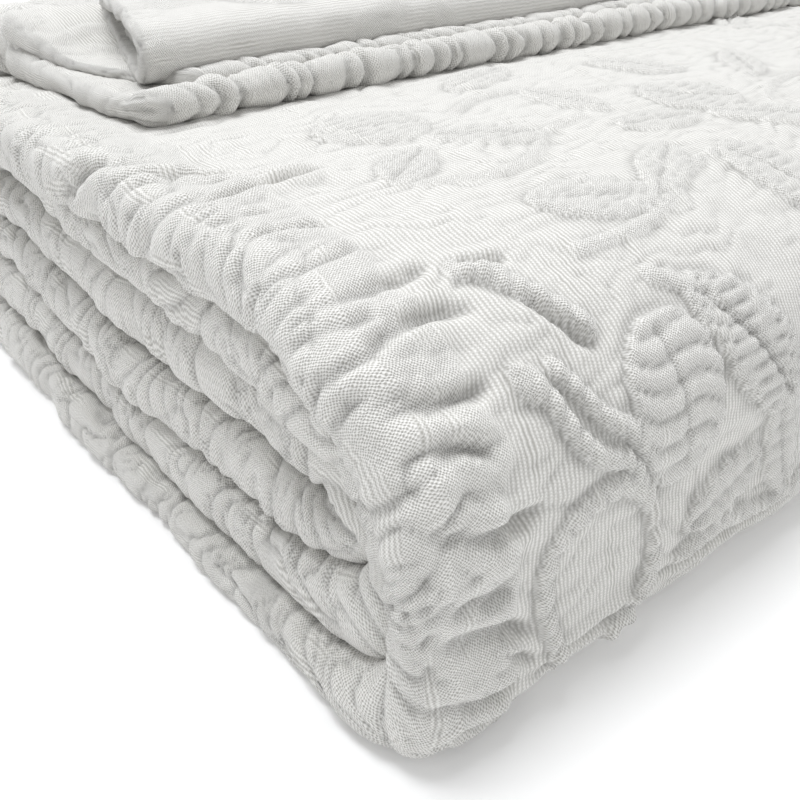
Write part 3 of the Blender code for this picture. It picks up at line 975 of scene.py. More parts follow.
    def relief(self, x: np.ndarray, s: np.ndarray) -> Relief:
        """The relief of the top and the front.

        Args:
            x: Places across the bundle.
            s: Places along the cloth, from where the front turn starts.

        Returns:
            Its heights, and how raised its weave is.
        """
        relief = Relief.over(x, s)
        for form in self.FORMS:
            form.raise_on(relief)
        relief.blend(Plain(31).relief(x, s), smooth((x - self.BEYOND) / self.BEYOND_BLEND))
        relief.height *= self.RISE
        self.pucker(relief, x, s)
        pressed = self.PLAIN_ON_TOP + (self.PLAIN_IN_FRONT - self.PLAIN_ON_TOP) * smooth(-s / 0.06)
        pressed = np.maximum(pressed, self.HEM_BAND_SHARE * smooth((s - self.HEM_BAND) / 0.010))
        relief.raised = np.maximum(relief.raised, pressed)
        for crease in self.CREASES:
            crease.press(relief, self.CREASING)
        return relief

    def pucker(self, relief: Relief, x: np.ndarray, s: np.ndarray) -> None:
        """Adds the puckered border along the folded edge, the puckers of the ground and its slow waves.

        Args:
            relief: The relief that they are added to.
            x: Places across the bundle.
            s: Places along the cloth, from where the front turn starts.
        """
        line = self.BORDER_EDGE + self.BORDER_SWAY * self.edge.at(s / 0.014, 0.5)
        border = smooth((line - x) / self.BORDER_BLEND + 0.5)
        shallow = self.CALM_SHARE + (1 - self.CALM_SHARE) * smooth((s + 0.02) / 0.06)
        relief.height = np.maximum(relief.height, border * self.BORDER_RISE)
        relief.height += border * self.puckers.across(x, s, *self.BORDER_PUCKERS) * shallow
        relief.raised = np.maximum(relief.raised, border)
        relief.height += (1 - relief.raised) * self.puckers.across(x, s, *self.GROUND_PUCKERS)
        relief.height += self.WAVE * self.wave.at(x / 0.035, s / 0.028)
        relief.height += self.RIPPLE * self.wave.at(x / 0.012, s / 0.010)


class Plain:
    """The relief of the cloth that lies inside, below or behind: puckers, and leaves in rows."""

    TILE_X = 0.150
    TILE_S = 0.120
    PUCKERS = PuckerSize(0.0100, 1.1, 0.0005)
    FORMS = (
        Cord(((0.000, 0.030), (0.030, 0.018), (0.062, 0.026), (0.096, 0.044), (0.126, 0.040), (0.150, 0.030)),
             0.0050, 0.0014),
        Leaf(0.034, 0.044, 0.040, 0.020, 60, 1.7, 0.0014),
        Leaf(0.074, 0.012, 0.040, 0.019, -40, 1.7, 0.0014),
        Leaf(0.112, 0.066, 0.042, 0.031, 75, 2.3, 0.0014),
        Leaf(0.060, 0.086, 0.044, 0.021, 20, 1.7, 0.0014),
        Leaf(0.020, 0.094, 0.036, 0.018, 110, 1.7, 0.0014),
        Leaf(0.126, 0.105, 0.038, 0.018, 15, 1.7, 0.0014),
    )

    def __init__(self, seed: int) -> None:
        """Makes the noises.

        Args:
            seed: The number of this stretch.
        """
        self.puckers = Puckers(seed)

    def relief(self, x: np.ndarray, s: np.ndarray) -> Relief:
        """The relief of a plain stretch.

        Args:
            x: Places across the cloth.
            s: Places along it.

        Returns:
            Its heights, and how raised its weave is.
        """
        relief = Relief.over(np.mod(x, self.TILE_X), np.mod(s, self.TILE_S))
        for form in self.FORMS:
            form.raise_on(relief)
        relief.height += (1 - relief.raised) * self.puckers.across(x, s, self.PUCKERS)
        return relief


class Weaver:
    """Makes the meshes of the cloth's stretches."""

    SWAY_STEP = 0.045
    SCALLOP_STEP = 0.013

    def __init__(self, size: BundleSize, field: SlowField) -> None:
        """Keeps what all stretches share.

        Args:
            size: The bundle's sizes.
            field: The bundle's unevenness.
        """
        self.size = size
        self.field = field

    def edges(self, rungs: Rungs, scallop: float, seed: int) -> tuple[np.ndarray, np.ndarray]:
        """The left and right edges of the band at its rungs.

        Args:
            rungs: The rungs.
            scallop: How far the left edge's scallops go in and out.
            seed: The number of this stretch.

        Returns:
            The left and the right edge, as places across the bundle.
        """
        size = self.size
        slow = np.array([noise.noise(Vector((a / self.SWAY_STEP, 3.0, 0.5))) for a in rungs.along])
        other = np.array([noise.noise(Vector((a / self.SWAY_STEP, 8.0, 0.5))) for a in rungs.along])
        quick = GradientNoise(seed + 5).at(rungs.along / self.SCALLOP_STEP, 0.5)
        left = -size.width / 2 + rungs.left + size.edge_sway * (0.5 + slow) + scallop * quick
        right = size.width / 2 - rungs.right - size.edge_sway * (0.5 + other) - 0.5 * scallop * quick
        return left, right

    def base(self, rungs: Rungs, columns: Columns, scallop: float, seed: int) -> np.ndarray:
        """The cloth's places before its relief.

        Args:
            rungs: The rungs of the stretch.
            columns: Its lines.
            scallop: How far the left edge's scallops go in and out.
            seed: The number of this stretch.

        Returns:
            Places in the row's frame, by rung and line.
        """
        half = np.linalg.norm(rungs.inner - rungs.outer, axis=1) / 2
        left, right = self.edges(rungs, scallop, seed)
        x, t = columns.spread(left, right, half)
        across = rungs.inner[:, None, :] + (rungs.outer - rungs.inner)[:, None, :] * t[..., None]
        return self.field.settle(np.concatenate([x[..., None], across], axis=-1))

    def normals(self, points: np.ndarray, line: int, out: np.ndarray) -> np.ndarray:
        """Directions square to the cloth, on the side that faces out of the band.

        Args:
            points: The cloth's places, by rung and line.
            line: The line where that side is known.
            out: The direction of that side, half way along that line.

        Returns:
            Directions of length one.
        """
        along = np.gradient(points, axis=0)
        across = np.gradient(points, axis=1)
        normal = np.cross(along, across)
        normal /= np.maximum(np.linalg.norm(normal, axis=-1, keepdims=True), 1e-12)
        sign = np.sign(float(normal[len(points) // 2, line] @ out))
        return normal * (sign or 1.0)

    def mesh(self, name: str, points: np.ndarray, cloth: np.ndarray, relief: Relief) -> bpy.types.Object:
        """One stretch's mesh.

        Args:
            name: The piece's name.
            points: Its places, by rung and line.
            cloth: Its places on the flat cloth, in metres, by rung and line.
            relief: Its relief, by rung and line.

        Returns:
            The object.
        """
        rows, lines = points.shape[:2]
        number = np.arange(rows * lines).reshape(rows, lines)
        quads = np.stack([number[:-1, :-1], number[1:, :-1], number[1:, 1:], number[:-1, 1:]], axis=-1)
        quads = quads.reshape(-1, 4)
        data = bpy.data.meshes.new(name)
        data.vertices.add(rows * lines)
        data.vertices.foreach_set("co", points.astype(np.float32).ravel())
        data.loops.add(quads.size)
        data.loops.foreach_set("vertex_index", quads.astype(np.int32).ravel())
        data.polygons.add(len(quads))
        data.polygons.foreach_set("loop_start", np.arange(0, quads.size, 4, dtype=np.int32))
        data.update(calc_edges=True)
        data.validate()
        spread = data.attributes.new("cloth", "FLOAT_VECTOR", "POINT")
        flat = np.concatenate([cloth, np.zeros(cloth.shape[:2] + (1,))], axis=-1)
        spread.data.foreach_set("vector", flat.astype(np.float32).ravel())
        for key, values in (("raised", relief.raised), ("hollow", hollows(relief.height))):
            layer = data.attributes.new(key, "FLOAT", "POINT")
            layer.data.foreach_set("value", values.astype(np.float32).ravel())
        grid = np.stack(np.meshgrid(np.linspace(0, 1, lines), np.linspace(0, 1, rows)), axis=-1)
        chart = data.uv_layers.new(name="OFBake")
        chart.uv.foreach_set("vector", grid.reshape(-1, 2)[quads.ravel()].astype(np.float32).ravel())
        data.shade_smooth()
        piece = bpy.data.objects.new(name, data)
        bpy.context.scene.collection.objects.link(piece)
        return piece


class Maths:
    """Short ways to add sums to a material's nodes."""

    def __init__(self, tree: bpy.types.NodeTree) -> None:
        """Keeps the tree.

        Args:
            tree: The material's nodes.
        """
        self.tree = tree

    def call(self, operation: str, *values: Socket | float) -> Socket:
        """One sum.

        Args:
            operation: Its kind.
            values: Sockets or numbers.

        Returns:
            The socket that holds the result.
        """
        node = self.tree.nodes.new("ShaderNodeMath")
        node.operation = operation
        for socket, value in zip(node.inputs, values):
            if isinstance(value, (int, float)):
                socket.default_value = value
            else:
                self.tree.links.new(value, socket)
        return node.outputs[0]

    def add(self, value: Socket, other: Socket | float) -> Socket:
        """The sum of two values."""
        return self.call("ADD", value, other)

    def times(self, value: Socket, other: Socket | float) -> Socket:
        """The product of two values."""
        return self.call("MULTIPLY", value, other)

    def about(self, value: Socket, height: float, level: float) -> Socket:
        """A wave or noise made this high, about this level."""
        return self.add(self.times(value, height), level)

    def sine(self, place: Socket, pitch: float) -> Socket:
        """A wave along a place, of this pitch."""
        return self.call("SINE", self.times(place, 2 * math.pi / pitch))

    def mix(self, share: Socket, low: Socket, high: Socket) -> Socket:
        """A value between two others."""
        node = self.tree.nodes.new("ShaderNodeMix")
        self.tree.links.new(share, node.inputs["Factor"])
        self.tree.links.new(low, node.inputs["A"])
        self.tree.links.new(high, node.inputs["B"])
        return node.outputs["Result"]

    def noise(self, place: Socket, scale: float, detail: float) -> Socket:
        """Noise from 0 to 1.

        Args:
            place: The socket that holds the place.
            scale: Lattice steps a metre.
            detail: How many finer layers it has.

        Returns:
            The socket that holds it.
        """
        node = self.tree.nodes.new("ShaderNodeTexNoise")
        node.inputs["Scale"].default_value = scale
        node.inputs["Detail"].default_value = detail
        self.tree.links.new(place, node.inputs["Vector"])
        return node.outputs["Fac"]

    def layer(self, name: str) -> bpy.types.Node:
        """The node that reads one of the mesh's own layers of values."""
        node = self.tree.nodes.new("ShaderNodeAttribute")
        node.attribute_name = name
        return node


@dataclass(frozen=True)
class ClothFinish:
    """Off-white cotton: plain weave where it is raised, and dashed ribs with stray thread pairs between, with
    painted shade in the gaps between its yarns and in the hollows of its relief.
    """

    colour: tuple[float, float, float] = (0.860, 0.852, 0.826)
    # shade is the painted shade colour of the gaps between the yarns, where shadow falls.
    shade: tuple[float, float, float] = (0.40, 0.39, 0.36)
    shade_reach: float = 0.68
    # hollow_shade is how much painted shade darkens the colour in the relief's hollows.
    hollow_shade: float = 0.28
    blotches: float = 0.05
    yarn: float = 0.00098
    yarn_height: float = 0.52
    rib: float = 0.00150
    rib_height: float = 0.30
    rib_level: float = 0.54
    dash: float = 0.00092
    dash_height: float = 0.18
    dash_level: float = 0.72
    thread: float = 0.00150
    thread_height: float = 0.32
    thread_share: float = 0.55
    patch: tuple[float, float] = (125.0, 26.0)
    patch_edge: float = 9.0
    bare_share: float = 0.60
    wander: float = 0.0014
    wander_scale: float = 260.0
    slub: float = 0.0009
    slub_scale: float = 900.0
    fuzz: float = 0.35
    fuzz_scale: float = 2600.0
    bump: float = 0.9
    bump_height: float = 0.00026
    roughness: float = 0.92
    sheen: float = 0.25
    sheen_roughness: float = 0.6
    specular: float = 0.2

    def build(self, name: str) -> bpy.types.Material:
        """The material.

        Args:
            name: Its name.

        Returns:
            The material, ready for a piece.
        """
        material = bpy.data.materials.new(name)
        material.use_nodes = True
        tree = material.node_tree
        shader = tree.nodes["Principled BSDF"]
        shader.inputs["Roughness"].default_value = self.roughness
        shader.inputs["Sheen Weight"].default_value = self.sheen
        shader.inputs["Sheen Roughness"].default_value = self.sheen_roughness
        shader.inputs["Specular IOR Level"].default_value = self.specular
        maths = Maths(tree)
        cloth = maths.layer("cloth").outputs["Vector"]
        wobble = maths.noise(cloth, self.wander_scale, 2.0)
        weave = self.weave(tree, maths, cloth, wobble)
        fuzz = maths.noise(cloth, self.fuzz_scale, 3.0)
        bump = tree.nodes.new("ShaderNodeBump")
        bump.inputs["Strength"].default_value = self.bump
        bump.inputs["Distance"].default_value = self.bump_height
        tree.links.new(maths.add(weave, maths.times(fuzz, self.fuzz)), bump.inputs["Height"])
        tree.links.new(bump.outputs["Normal"], shader.inputs["Normal"])
        # Painted shade: the colour is darker in the relief's hollows, where shadow falls.
        light = maths.about(maths.layer("hollow").outputs["Fac"], -self.hollow_shade, 1.0)
        value = maths.times(maths.about(wobble, self.blotches, 1 - self.blotches / 2), light)
        self.colour_by(tree, weave, value, shader)
        return material

    def weave(self, tree: bpy.types.NodeTree, maths: Maths, cloth: Socket, wobble: Socket) -> Socket:
        """The height of the weave.

        Args:
            tree: The material's nodes.
            maths: Its helper.
            cloth: The place on the cloth.
            wobble: Noise that bends the yarns.

        Returns:
            The height, from 0 to 1.
        """
        slub = maths.noise(cloth, self.slub_scale, 1.0)
        parts = tree.nodes.new("ShaderNodeSeparateXYZ")
        tree.links.new(cloth, parts.inputs[0])
        u = maths.add(parts.outputs[0], maths.times(maths.add(wobble, -0.5), self.wander))
        v = maths.add(parts.outputs[1], maths.times(maths.add(slub, -0.5), self.slub))
        checks = maths.times(maths.sine(u, self.yarn), maths.sine(v, self.yarn))
        plain = maths.about(checks, self.yarn_height, 1 - self.yarn_height)
        row = maths.call("FLOOR", maths.times(u, 1 / self.rib))
        along = maths.add(maths.times(v, 2 * math.pi / self.dash), maths.times(row, math.pi))
        dashes = maths.about(maths.call("SINE", along), self.dash_height, self.dash_level)
        ribs = maths.about(maths.sine(u, self.rib), self.rib_height, self.rib_level)
        woven = maths.mix(maths.layer("raised").outputs["Fac"], maths.times(ribs, dashes), plain)
        return self.with_threads(tree, maths, cloth, u, woven)

    def with_threads(
        self, tree: bpy.types.NodeTree, maths: Maths, cloth: Socket, u: Socket, woven: Socket
    ) -> Socket:
        """Puts groups of straight threads over the weave, here and there and far along the cloth.

        Args:
            tree: The material's nodes.
            maths: Its helper.
            cloth: The place on the cloth.
            u: The place across the cloth.
            woven: The weave's height.

        Returns:
            The height with the threads.
        """
        stretched = tree.nodes.new("ShaderNodeVectorMath")
        stretched.operation = "MULTIPLY"
        stretched.inputs[1].default_value = (*self.patch, 0.0)
        tree.links.new(cloth, stretched.inputs[0])
        patch = maths.noise(stretched.outputs["Vector"], 1.0, 1.0)
        shown = maths.times(maths.add(patch, -self.bare_share), self.patch_edge)
        shown = maths.call("MINIMUM", maths.call("MAXIMUM", shown, 0.0), self.thread_share)
        line = maths.about(maths.sine(u, self.thread), self.thread_height, self.thread_height)
        return maths.mix(shown, woven, line)

    def colour_by(
        self, tree: bpy.types.NodeTree, weave: Socket, value: Socket, shader: bpy.types.Node
    ) -> None:
        """Paints shade into the gaps between the yarns, darkest where the weave is lowest, and scales the
        whole by a value.

        Args:
            tree: The material's nodes.
            weave: The weave's height.
            value: How light the cloth is, about 1: its random blotches, times painted shade in the relief's
                hollows.
            shader: The node that takes the colour.
        """
        # Painted shade: the lower the weave, the nearer the colour is to the dark gap colour.
        depth = tree.nodes.new("ShaderNodeMapRange")
        depth.inputs["From Min"].default_value = 0.0
        depth.inputs["From Max"].default_value = self.shade_reach
        tree.links.new(weave, depth.inputs["Value"])
        painted_gap_shade_mix = tree.nodes.new("ShaderNodeMix")
        painted_gap_shade_mix.data_type = "RGBA"
        painted_gap_shade_mix.inputs["A"].default_value = (*self.shade, 1.0)
        painted_gap_shade_mix.inputs["B"].default_value = (*self.colour, 1.0)
        tree.links.new(depth.outputs["Result"], painted_gap_shade_mix.inputs["Factor"])
        varied = tree.nodes.new("ShaderNodeHueSaturation")
        tree.links.new(painted_gap_shade_mix.outputs["Result"], varied.inputs["Color"])
        tree.links.new(value, varied.inputs["Value"])
        tree.links.new(varied.outputs["Color"], shader.inputs["Base Color"])


@dataclass(frozen=True)
class FlatWidths:
    """How wide each part of the cloth is when it lies flat."""

    hem: float = 0.014
    first: float = 0.5905
    outer_fold: float = 0.0290
    fourth: float = 0.5840
    right_fold: float = 0.0095
    third: float = 0.5840
    inner_fold: float = 0.0095
    second: float = 0.5840

    def start(self, part: Part) -> float:
        """Where a part starts, from the edge of the outermost ply."""
        order = list(Part)
        widths = [self.width(p) for p in order]
        return sum(widths[: order.index(part)]) - self.hem

    def width(self, part: Part) -> float:
        """How wide a part is."""
        return {
            Part.OUTER_HEM: self.hem,
            Part.FIRST: self.first,
            Part.OUTER_FOLD: self.outer_fold,
            Part.FOURTH: self.fourth,
            Part.RIGHT_FOLD: self.right_fold,
            Part.THIRD: self.third,
            Part.INNER_FOLD: self.inner_fold,
            Part.SECOND: self.second,
            Part.INNER_HEM: self.hem,
        }[part]

    def of(self, columns: Columns) -> np.ndarray:
        """The flat place of each line."""
        return np.concatenate([self.start(part) + a * self.width(part) for part, a in columns.parts])


class Stretch:
    """One stretch of the cloth along the band, as one piece."""

    HALF_WIDTH = BundleSize().width / 2
    FOLD_REACH = 0.020
    FOLD_RISE = 0.0003
    FOLD_RAISED = 0.8
    SINK = 0.0018
    FLOOR_GAP = 0.0002

    def __init__(self, name: str, rungs: Rungs, columns: Columns, seed: int = 104) -> None:
        """Sets the stretch out.

        Args:
            name: The piece's name.
            rungs: Its rungs.
            columns: Its lines.
            seed: The number of its noises, the same on stretches that follow on one another.
        """
        self.name = name
        self.rungs = rungs
        self.columns = columns
        self.seed = seed
        self.scallop = 0.0012
        self.rib_height = 0.0024
        self.hidden_share = 0.35
        self.turned = False
        self.under_before = 0.0
        self.under_after = 0.0
        self.flat = FlatWidths().of(columns)

    def relief(self, from_start: float) -> Relief:
        """The stretch's relief: plain cloth, with ribs round its folded edges.

        Args:
            from_start: Where the front turn of the shown cloth starts along the band.

        Returns:
            Its heights, and how raised its weave is.
        """
        x, s = self.spots(from_start)
        relief = Plain(self.seed).relief(x, s)
        outer = self.columns.has(Part.FIRST) | self.columns.has(Part.OUTER_HEM)
        relief.height *= np.where(outer, 1.0, self.hidden_share)[None, :]
        self.add_ribs(relief, x, s)
        return relief

    def going_under(self, before: float, after: float) -> "Stretch":
        """Lets the ends sink below the stretches that they meet, so that no gap shows between them.

        Args:
            before: The length that goes under at its first end.
            after: The length that goes under at its last end.

        Returns:
            This stretch.
        """
        self.under_before, self.under_after = before, after
        return self

    def sunk(self) -> np.ndarray:
        """How far each rung is below its even place."""
        along = self.rungs.along
        sunk = np.zeros(len(along))
        if self.under_before:
            sunk = np.maximum(sunk, 1 - (along - along[0]) / self.under_before)
        if self.under_after:
            sunk = np.maximum(sunk, 1 - (along[-1] - along) / self.under_after)
        return self.SINK * sunk

    def spots(self, from_start: float) -> tuple[np.ndarray, np.ndarray]:
        """Places across the bundle and along the cloth, by rung and line."""
        x = np.broadcast_to(self.HALF_WIDTH - self.flat, (len(self.rungs.along), len(self.flat)))
        s = np.broadcast_to((self.rungs.along - from_start)[:, None], x.shape)
        return x, s

    def add_ribs(self, relief: Relief, x: np.ndarray, s: np.ndarray) -> None:
        """Adds the ribs round the outer folded edge.

        Args:
            relief: The relief that they are added to.
            x: Places across the bundle.
            s: Places along the cloth.
        """
        widths = FlatWidths()
        middle = widths.start(Part.OUTER_FOLD) + widths.outer_fold / 2
        off = np.abs(self.flat - middle) - widths.outer_fold / 2
        near = smooth(1 - np.maximum(off, 0) / self.FOLD_REACH)[None, :]
        ribs = Puckers(self.seed + 30).round_fold(x, s)
        ribs = ribs * self.rib_height + self.FOLD_RISE
        relief.height = relief.height * (1 - 0.6 * near) + near * ribs
        relief.raised = np.maximum(relief.raised, near * self.FOLD_RAISED)

    def make(self, weaver: Weaver, finish: bpy.types.Material, from_start: float) -> bpy.types.Object:
        """Makes the piece.

        Args:
            weaver: The maker of meshes.
            finish: The cloth's material.
            from_start: Where the front turn of the shown cloth starts along the band.

        Returns:
            The object.
        """
        points = weaver.base(self.rungs, self.columns, self.scallop, self.seed)
        relief = self.relief(from_start)
        relief.height = relief.height - self.sunk()[:, None]
        middle = len(self.rungs.along) // 2
        out = np.array([0.0, *(self.rungs.outer[middle] - self.rungs.inner[middle])])
        first = np.flatnonzero(self.columns.has(Part.FIRST))
        if len(first):
            normal = weaver.normals(points, int(first[len(first) // 2]), out)
        else:
            normal = weaver.normals(points, 1, -out)
        moved = points + normal * relief.height[..., None]
        moved[..., 2] = np.maximum(moved[..., 2], self.FLOOR_GAP)
        step = np.linalg.norm(np.diff(points[:, 1], axis=0), axis=1)
        length = np.concatenate([[0], np.cumsum(step)])
        cloth = np.stack(np.broadcast_arrays(self.flat[None, :], length[:, None]), axis=-1)
        if self.turned:
            cloth = cloth[..., ::-1]
        piece = weaver.mesh(self.name, moved, cloth, relief)
        piece.data.materials.append(finish)
        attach(piece, BODY)
        return piece


class ShownStretch(Stretch):
    """The outermost ply over the top and down the front, with the woven pattern and the creases."""

    BLEND = 0.012

    def relief(self, from_start: float) -> Relief:
        """The relief of the top and the front.

        Args:
            from_start: Where the front turn starts along the band.

        Returns:
            Its heights, and how raised its weave is.
        """
        x, s = self.spots(from_start)
        relief = Pattern().relief(x, s)
        self.add_ribs(relief, x, s)
        joined = super().relief(from_start)
        joined.blend(relief, smooth((self.rungs.along - self.rungs.along[0]) / self.BLEND)[:, None])
        return joined


@dataclass(frozen=True)
class RollSize:
    """One hem roll on top: where it starts and ends from the front, its heights and its inset."""

    tip: float
    bottom: float
    body: float
    neck: float
    roll: float
    inset: Inset
    start: float = 0.302
    neck_back: float = 0.0145
    body_back: float = 0.026
    corner: float = 0.012
    back_lift: float = 0.0
    back_swell: float = 0.7
    overlap: float = 0.0011


@dataclass(frozen=True)
class FlapSize:
    """The upper plies, turned back on themselves in one smooth fold."""

    tip: float
    underside: float
    top: float
    back_end: float
    thick: float
    inset: Inset
    start: float = 0.301
    start_height: float = 0.1425
    bend_start: float = 0.2225


class HemStretch(Stretch):
    """A hem roll, gathered by its stitches into puffs along its edge."""

    FULL_ROLL = 0.0124
    RUNG_STEP = 0.0012
    GATHERED = 0.019
    PUFF_PITCH = 0.0122
    PUFF_HEIGHT = 0.0044
    FINE_PITCH = 0.0041
    FINE_HEIGHT = 0.0006
    STITCH_PITCH = 0.0006
    STITCH_WIDTH = 0.0011
    STITCH_DEPTH = 0.0008
    RAISED = 0.85
    SMOOTH_CORNER = 0.005

    def __init__(self, name: str, size: RollSize, band: WoundBand, columns: Columns, seed: int) -> None:
        """Sets the roll out.

        Args:
            name: The piece's name.
            size: The roll's sizes.
            band: The band that it continues.
            columns: Its lines.
            seed: The number of this stretch.
        """
        self.size = size
        rungs, self.behind = self.lay(size, band)
        super().__init__(name, rungs, columns, seed)
        self.scallop = 0.0016
        self.rib_height = 0.0008

    def lay(self, size: RollSize, band: WoundBand) -> tuple[Rungs, np.ndarray]:
        """The roll's rungs, and how far each is behind the tip.

        Args:
            size: The roll's sizes.
            band: The band that it continues.

        Returns:
            The rungs and the distances.
        """
        radius = size.roll / 2
        straight = np.arange(size.start - size.tip, radius, -self.RUNG_STEP)
        angle = np.linspace(0, math.pi / 2, 11)
        round_tip = radius * (1 - np.sin(angle)) + 1e-6
        behind = np.concatenate([straight, round_tip])
        thick = np.interp(
            behind,
            (radius, size.neck_back * 0.7, size.neck_back, size.body_back, 0.07, size.start - size.tip),
            (size.roll, size.roll * 0.86, size.neck, size.body, size.body * 0.9, size.body),
        )
        end = behind < radius
        thick[end] = size.roll * np.sqrt(np.maximum(1 - (1 - behind[end] / radius) ** 2, 0.0004))
        lift = np.interp(behind, (radius, size.neck_back, size.body_back), (0.0, 0.0012, 0.0))
        place = size.tip + behind
        back = smooth((place - 0.262) / 0.040)
        thick = thick * (1 + size.back_swell * back)
        floor = band.height(6, place) + size.bottom + lift + size.back_lift * back
        floor = floor + (size.roll - thick) / 2 * end
        inner = np.stack([place, floor], axis=1)
        outer = np.stack([place, floor + thick], axis=1)
        inner[-1] += (0.0005, size.overlap)
        outer[-1] += (0.0001, -size.overlap)
        corner = np.clip(1 - behind / size.corner, 0, 1)
        left = size.inset.left(place, band.size) + size.corner * (1 - np.sqrt(1 - corner**2 * 0.98))
        right = np.full(len(place), size.inset.right)
        along = np.concatenate([[0], np.cumsum(np.abs(np.diff(behind)))])
        along[-len(round_tip):] = along[-len(round_tip) - 1] + radius * (angle + 0.05)
        return Rungs(inner, outer, left, right, along), behind

    def relief(self, from_start: float) -> Relief:
        """The roll's puffs, and the dip along its stitches.

        Args:
            from_start: Not used by a hem, whose own edge is its start.

        Returns:
            Its heights, and how raised its weave is.
        """
        x, s = self.spots(0.0)
        relief = Plain(self.seed).relief(x, s)
        relief.height *= 0.5
        behind = np.broadcast_to(self.behind[:, None], x.shape)
        near = smooth((self.GATHERED - behind) / 0.008)
        stitch = np.exp(-(((behind - self.size.neck_back) / self.STITCH_WIDTH) ** 2))
        stitch = self.STITCH_DEPTH * stitch * (0.6 + 0.4 * np.cos(x / self.STITCH_PITCH))
        relief.height = relief.height * (1 - near) + near * self.roll(behind) - stitch
        relief.raised = np.maximum(relief.raised, near * self.RAISED)
        self.add_ribs(relief, x, s)
        fold = self.columns.has(Part.OUTER_FOLD)[None, :]
        relief.height *= np.where(fold, smooth(behind / self.SMOOTH_CORNER), 1.0)
        return relief

    def roll(self, behind: np.ndarray) -> np.ndarray:
        """The roll's puffs, which run on from its upper half to its lower one.

        Args:
            behind: How far each place is behind the tip.

        Returns:
            Their heights.
        """
        gather = GradientNoise(self.seed + 9)
        widths = FlatWidths()
        far = self.columns.from_right(widths.first, widths.outer_fold, self.size.roll / 2)
        x = np.broadcast_to(self.HALF_WIDTH - far, behind.shape)
        phase = x / self.PUFF_PITCH + 0.9 * gather.at(x / 0.021, behind / 0.02)
        phase = phase + 0.1 * gather.at(x / 0.006, behind / 0.006)
        fine = x / self.FINE_PITCH + 0.8 * gather.at(x / 0.010 + 9, behind / 0.012)
        size = np.clip(0.85 + 0.6 * gather.at(x / 0.018 + 4, 0.2), 0.40, 1.3)
        puffed = (puffs(phase, 0.75) - 0.58) * self.PUFF_HEIGHT * size
        puffed = puffed + (puffs(fine, 0.9) - 0.6) * self.FINE_HEIGHT
        return puffed * self.size.roll / self.FULL_ROLL


class FlapStretch(Stretch):
    """The upper plies: forwards, round a smooth fold and back on top."""

    RUNG_STEP = 0.0015
    CALM = 0.016
    RAISED = 0.5
    FINE_LINES = 0.00022
    WAVES = 0.0006
    CREASES = (
        (-0.243, 84, 0.0008), (-0.214, 96, 0.0011), (-0.197, 80, 0.0007),
        (-0.152, 108, 0.0010), (-0.118, 70, 0.0009), (-0.060, 96, 0.0009),
    )

    def __init__(self, name: str, size: FlapSize, band: WoundBand, columns: Columns, seed: int) -> None:
        """Sets the flap out.

        Args:
            name: The piece's name.
            size: Its sizes.
            band: The band that it continues.
            columns: Its lines.
            seed: The number of this stretch.
        """
        self.size = size
        super().__init__(name, self.lay(size, band), columns, seed)
        self.scallop = 0.0010
        self.rib_height = 0.0009
        self.turned = True

    def lay(self, size: FlapSize, band: WoundBand) -> Rungs:
        """The flap's rungs.

        Args:
            size: Its sizes.
            band: The band that it continues.

        Returns:
            The rungs.
        """
        half = (size.top - size.underside) / 2
        below = np.linspace(size.start, size.bend_start, 36)
        low = size.underside + (size.start_height - size.underside) * smooth((below - 0.262) / 0.040)
        angle = np.linspace(-math.pi / 2, math.pi / 2, 34)[1:-1]
        fold = np.stack(
            [
                size.bend_start + (size.tip - size.bend_start) * np.cos(angle) ** 0.80,
                size.underside + half + half * np.sign(angle) * np.abs(np.sin(angle)) ** 0.92,
            ],
            axis=1,
        )
        above = np.linspace(size.bend_start, size.back_end, 44)
        top = np.full(len(above), size.top)
        line = np.concatenate([np.stack([below, low], axis=1), fold, np.stack([above, top], axis=1)])
        step = np.linalg.norm(np.diff(line, axis=0), axis=1)
        along = np.concatenate([[0], np.cumsum(step)])
        even = np.linspace(0, along[-1], round(along[-1] / self.RUNG_STEP))
        line = np.stack([np.interp(even, along, line[:, i]) for i in (0, 1)], axis=1)
        slope = np.gradient(line, axis=0)
        slope /= np.linalg.norm(slope, axis=1, keepdims=True)
        inward = np.stack([slope[:, 1], -slope[:, 0]], axis=1)
        left_over = even[-1] - even
        thick = size.thick * np.sqrt(np.clip(1 - (1 - np.minimum(left_over / 0.0016, 1)) ** 2, 0.02, 1))
        left = size.inset.left(line[:, 0], band.size)
        return Rungs(line + inward * thick[:, None], line, left, np.full(len(even), size.inset.right), even)

    def relief(self, from_start: float) -> Relief:
        """The flap's fine lines and the few creases over its fold.

        Args:
            from_start: Not used by the flap, whose own start is its first rung.

        Returns:
            Its heights, and how raised its weave is.
        """
        x, s = self.spots(0.0)
        relief = Plain(self.seed).relief(x, s)
        bend = float(self.rungs.along[np.argmin(self.rungs.outer[:, 0])])
        calm = np.exp(-(((s - bend) / self.CALM) ** 2))
        relief.height *= 1 - 0.75 * calm
        relief.raised = np.maximum(relief.raised, self.RAISED)
        fine = GradientNoise(self.seed + 3)
        relief.height += self.FINE_LINES * fine.at(x / 0.030, s / 0.0016) * calm
        relief.height += self.WAVES * fine.at(x / 0.022, s / 0.030)
        for place, lean, depth in self.CREASES:
            Crease(place, bend + 0.002, 0.030, lean, 0.0012, depth, 0.002).press(relief, 1.0)
        self.add_ribs(relief, x, s)
        return relief


@dataclass(frozen=True)
class Lamp:
    """One soft square lamp: where it hangs and points, its width and its power in watts."""

    name: str
    place: tuple[float, float, float]
    target: tuple[float, float, float]
    width: float
    power: float


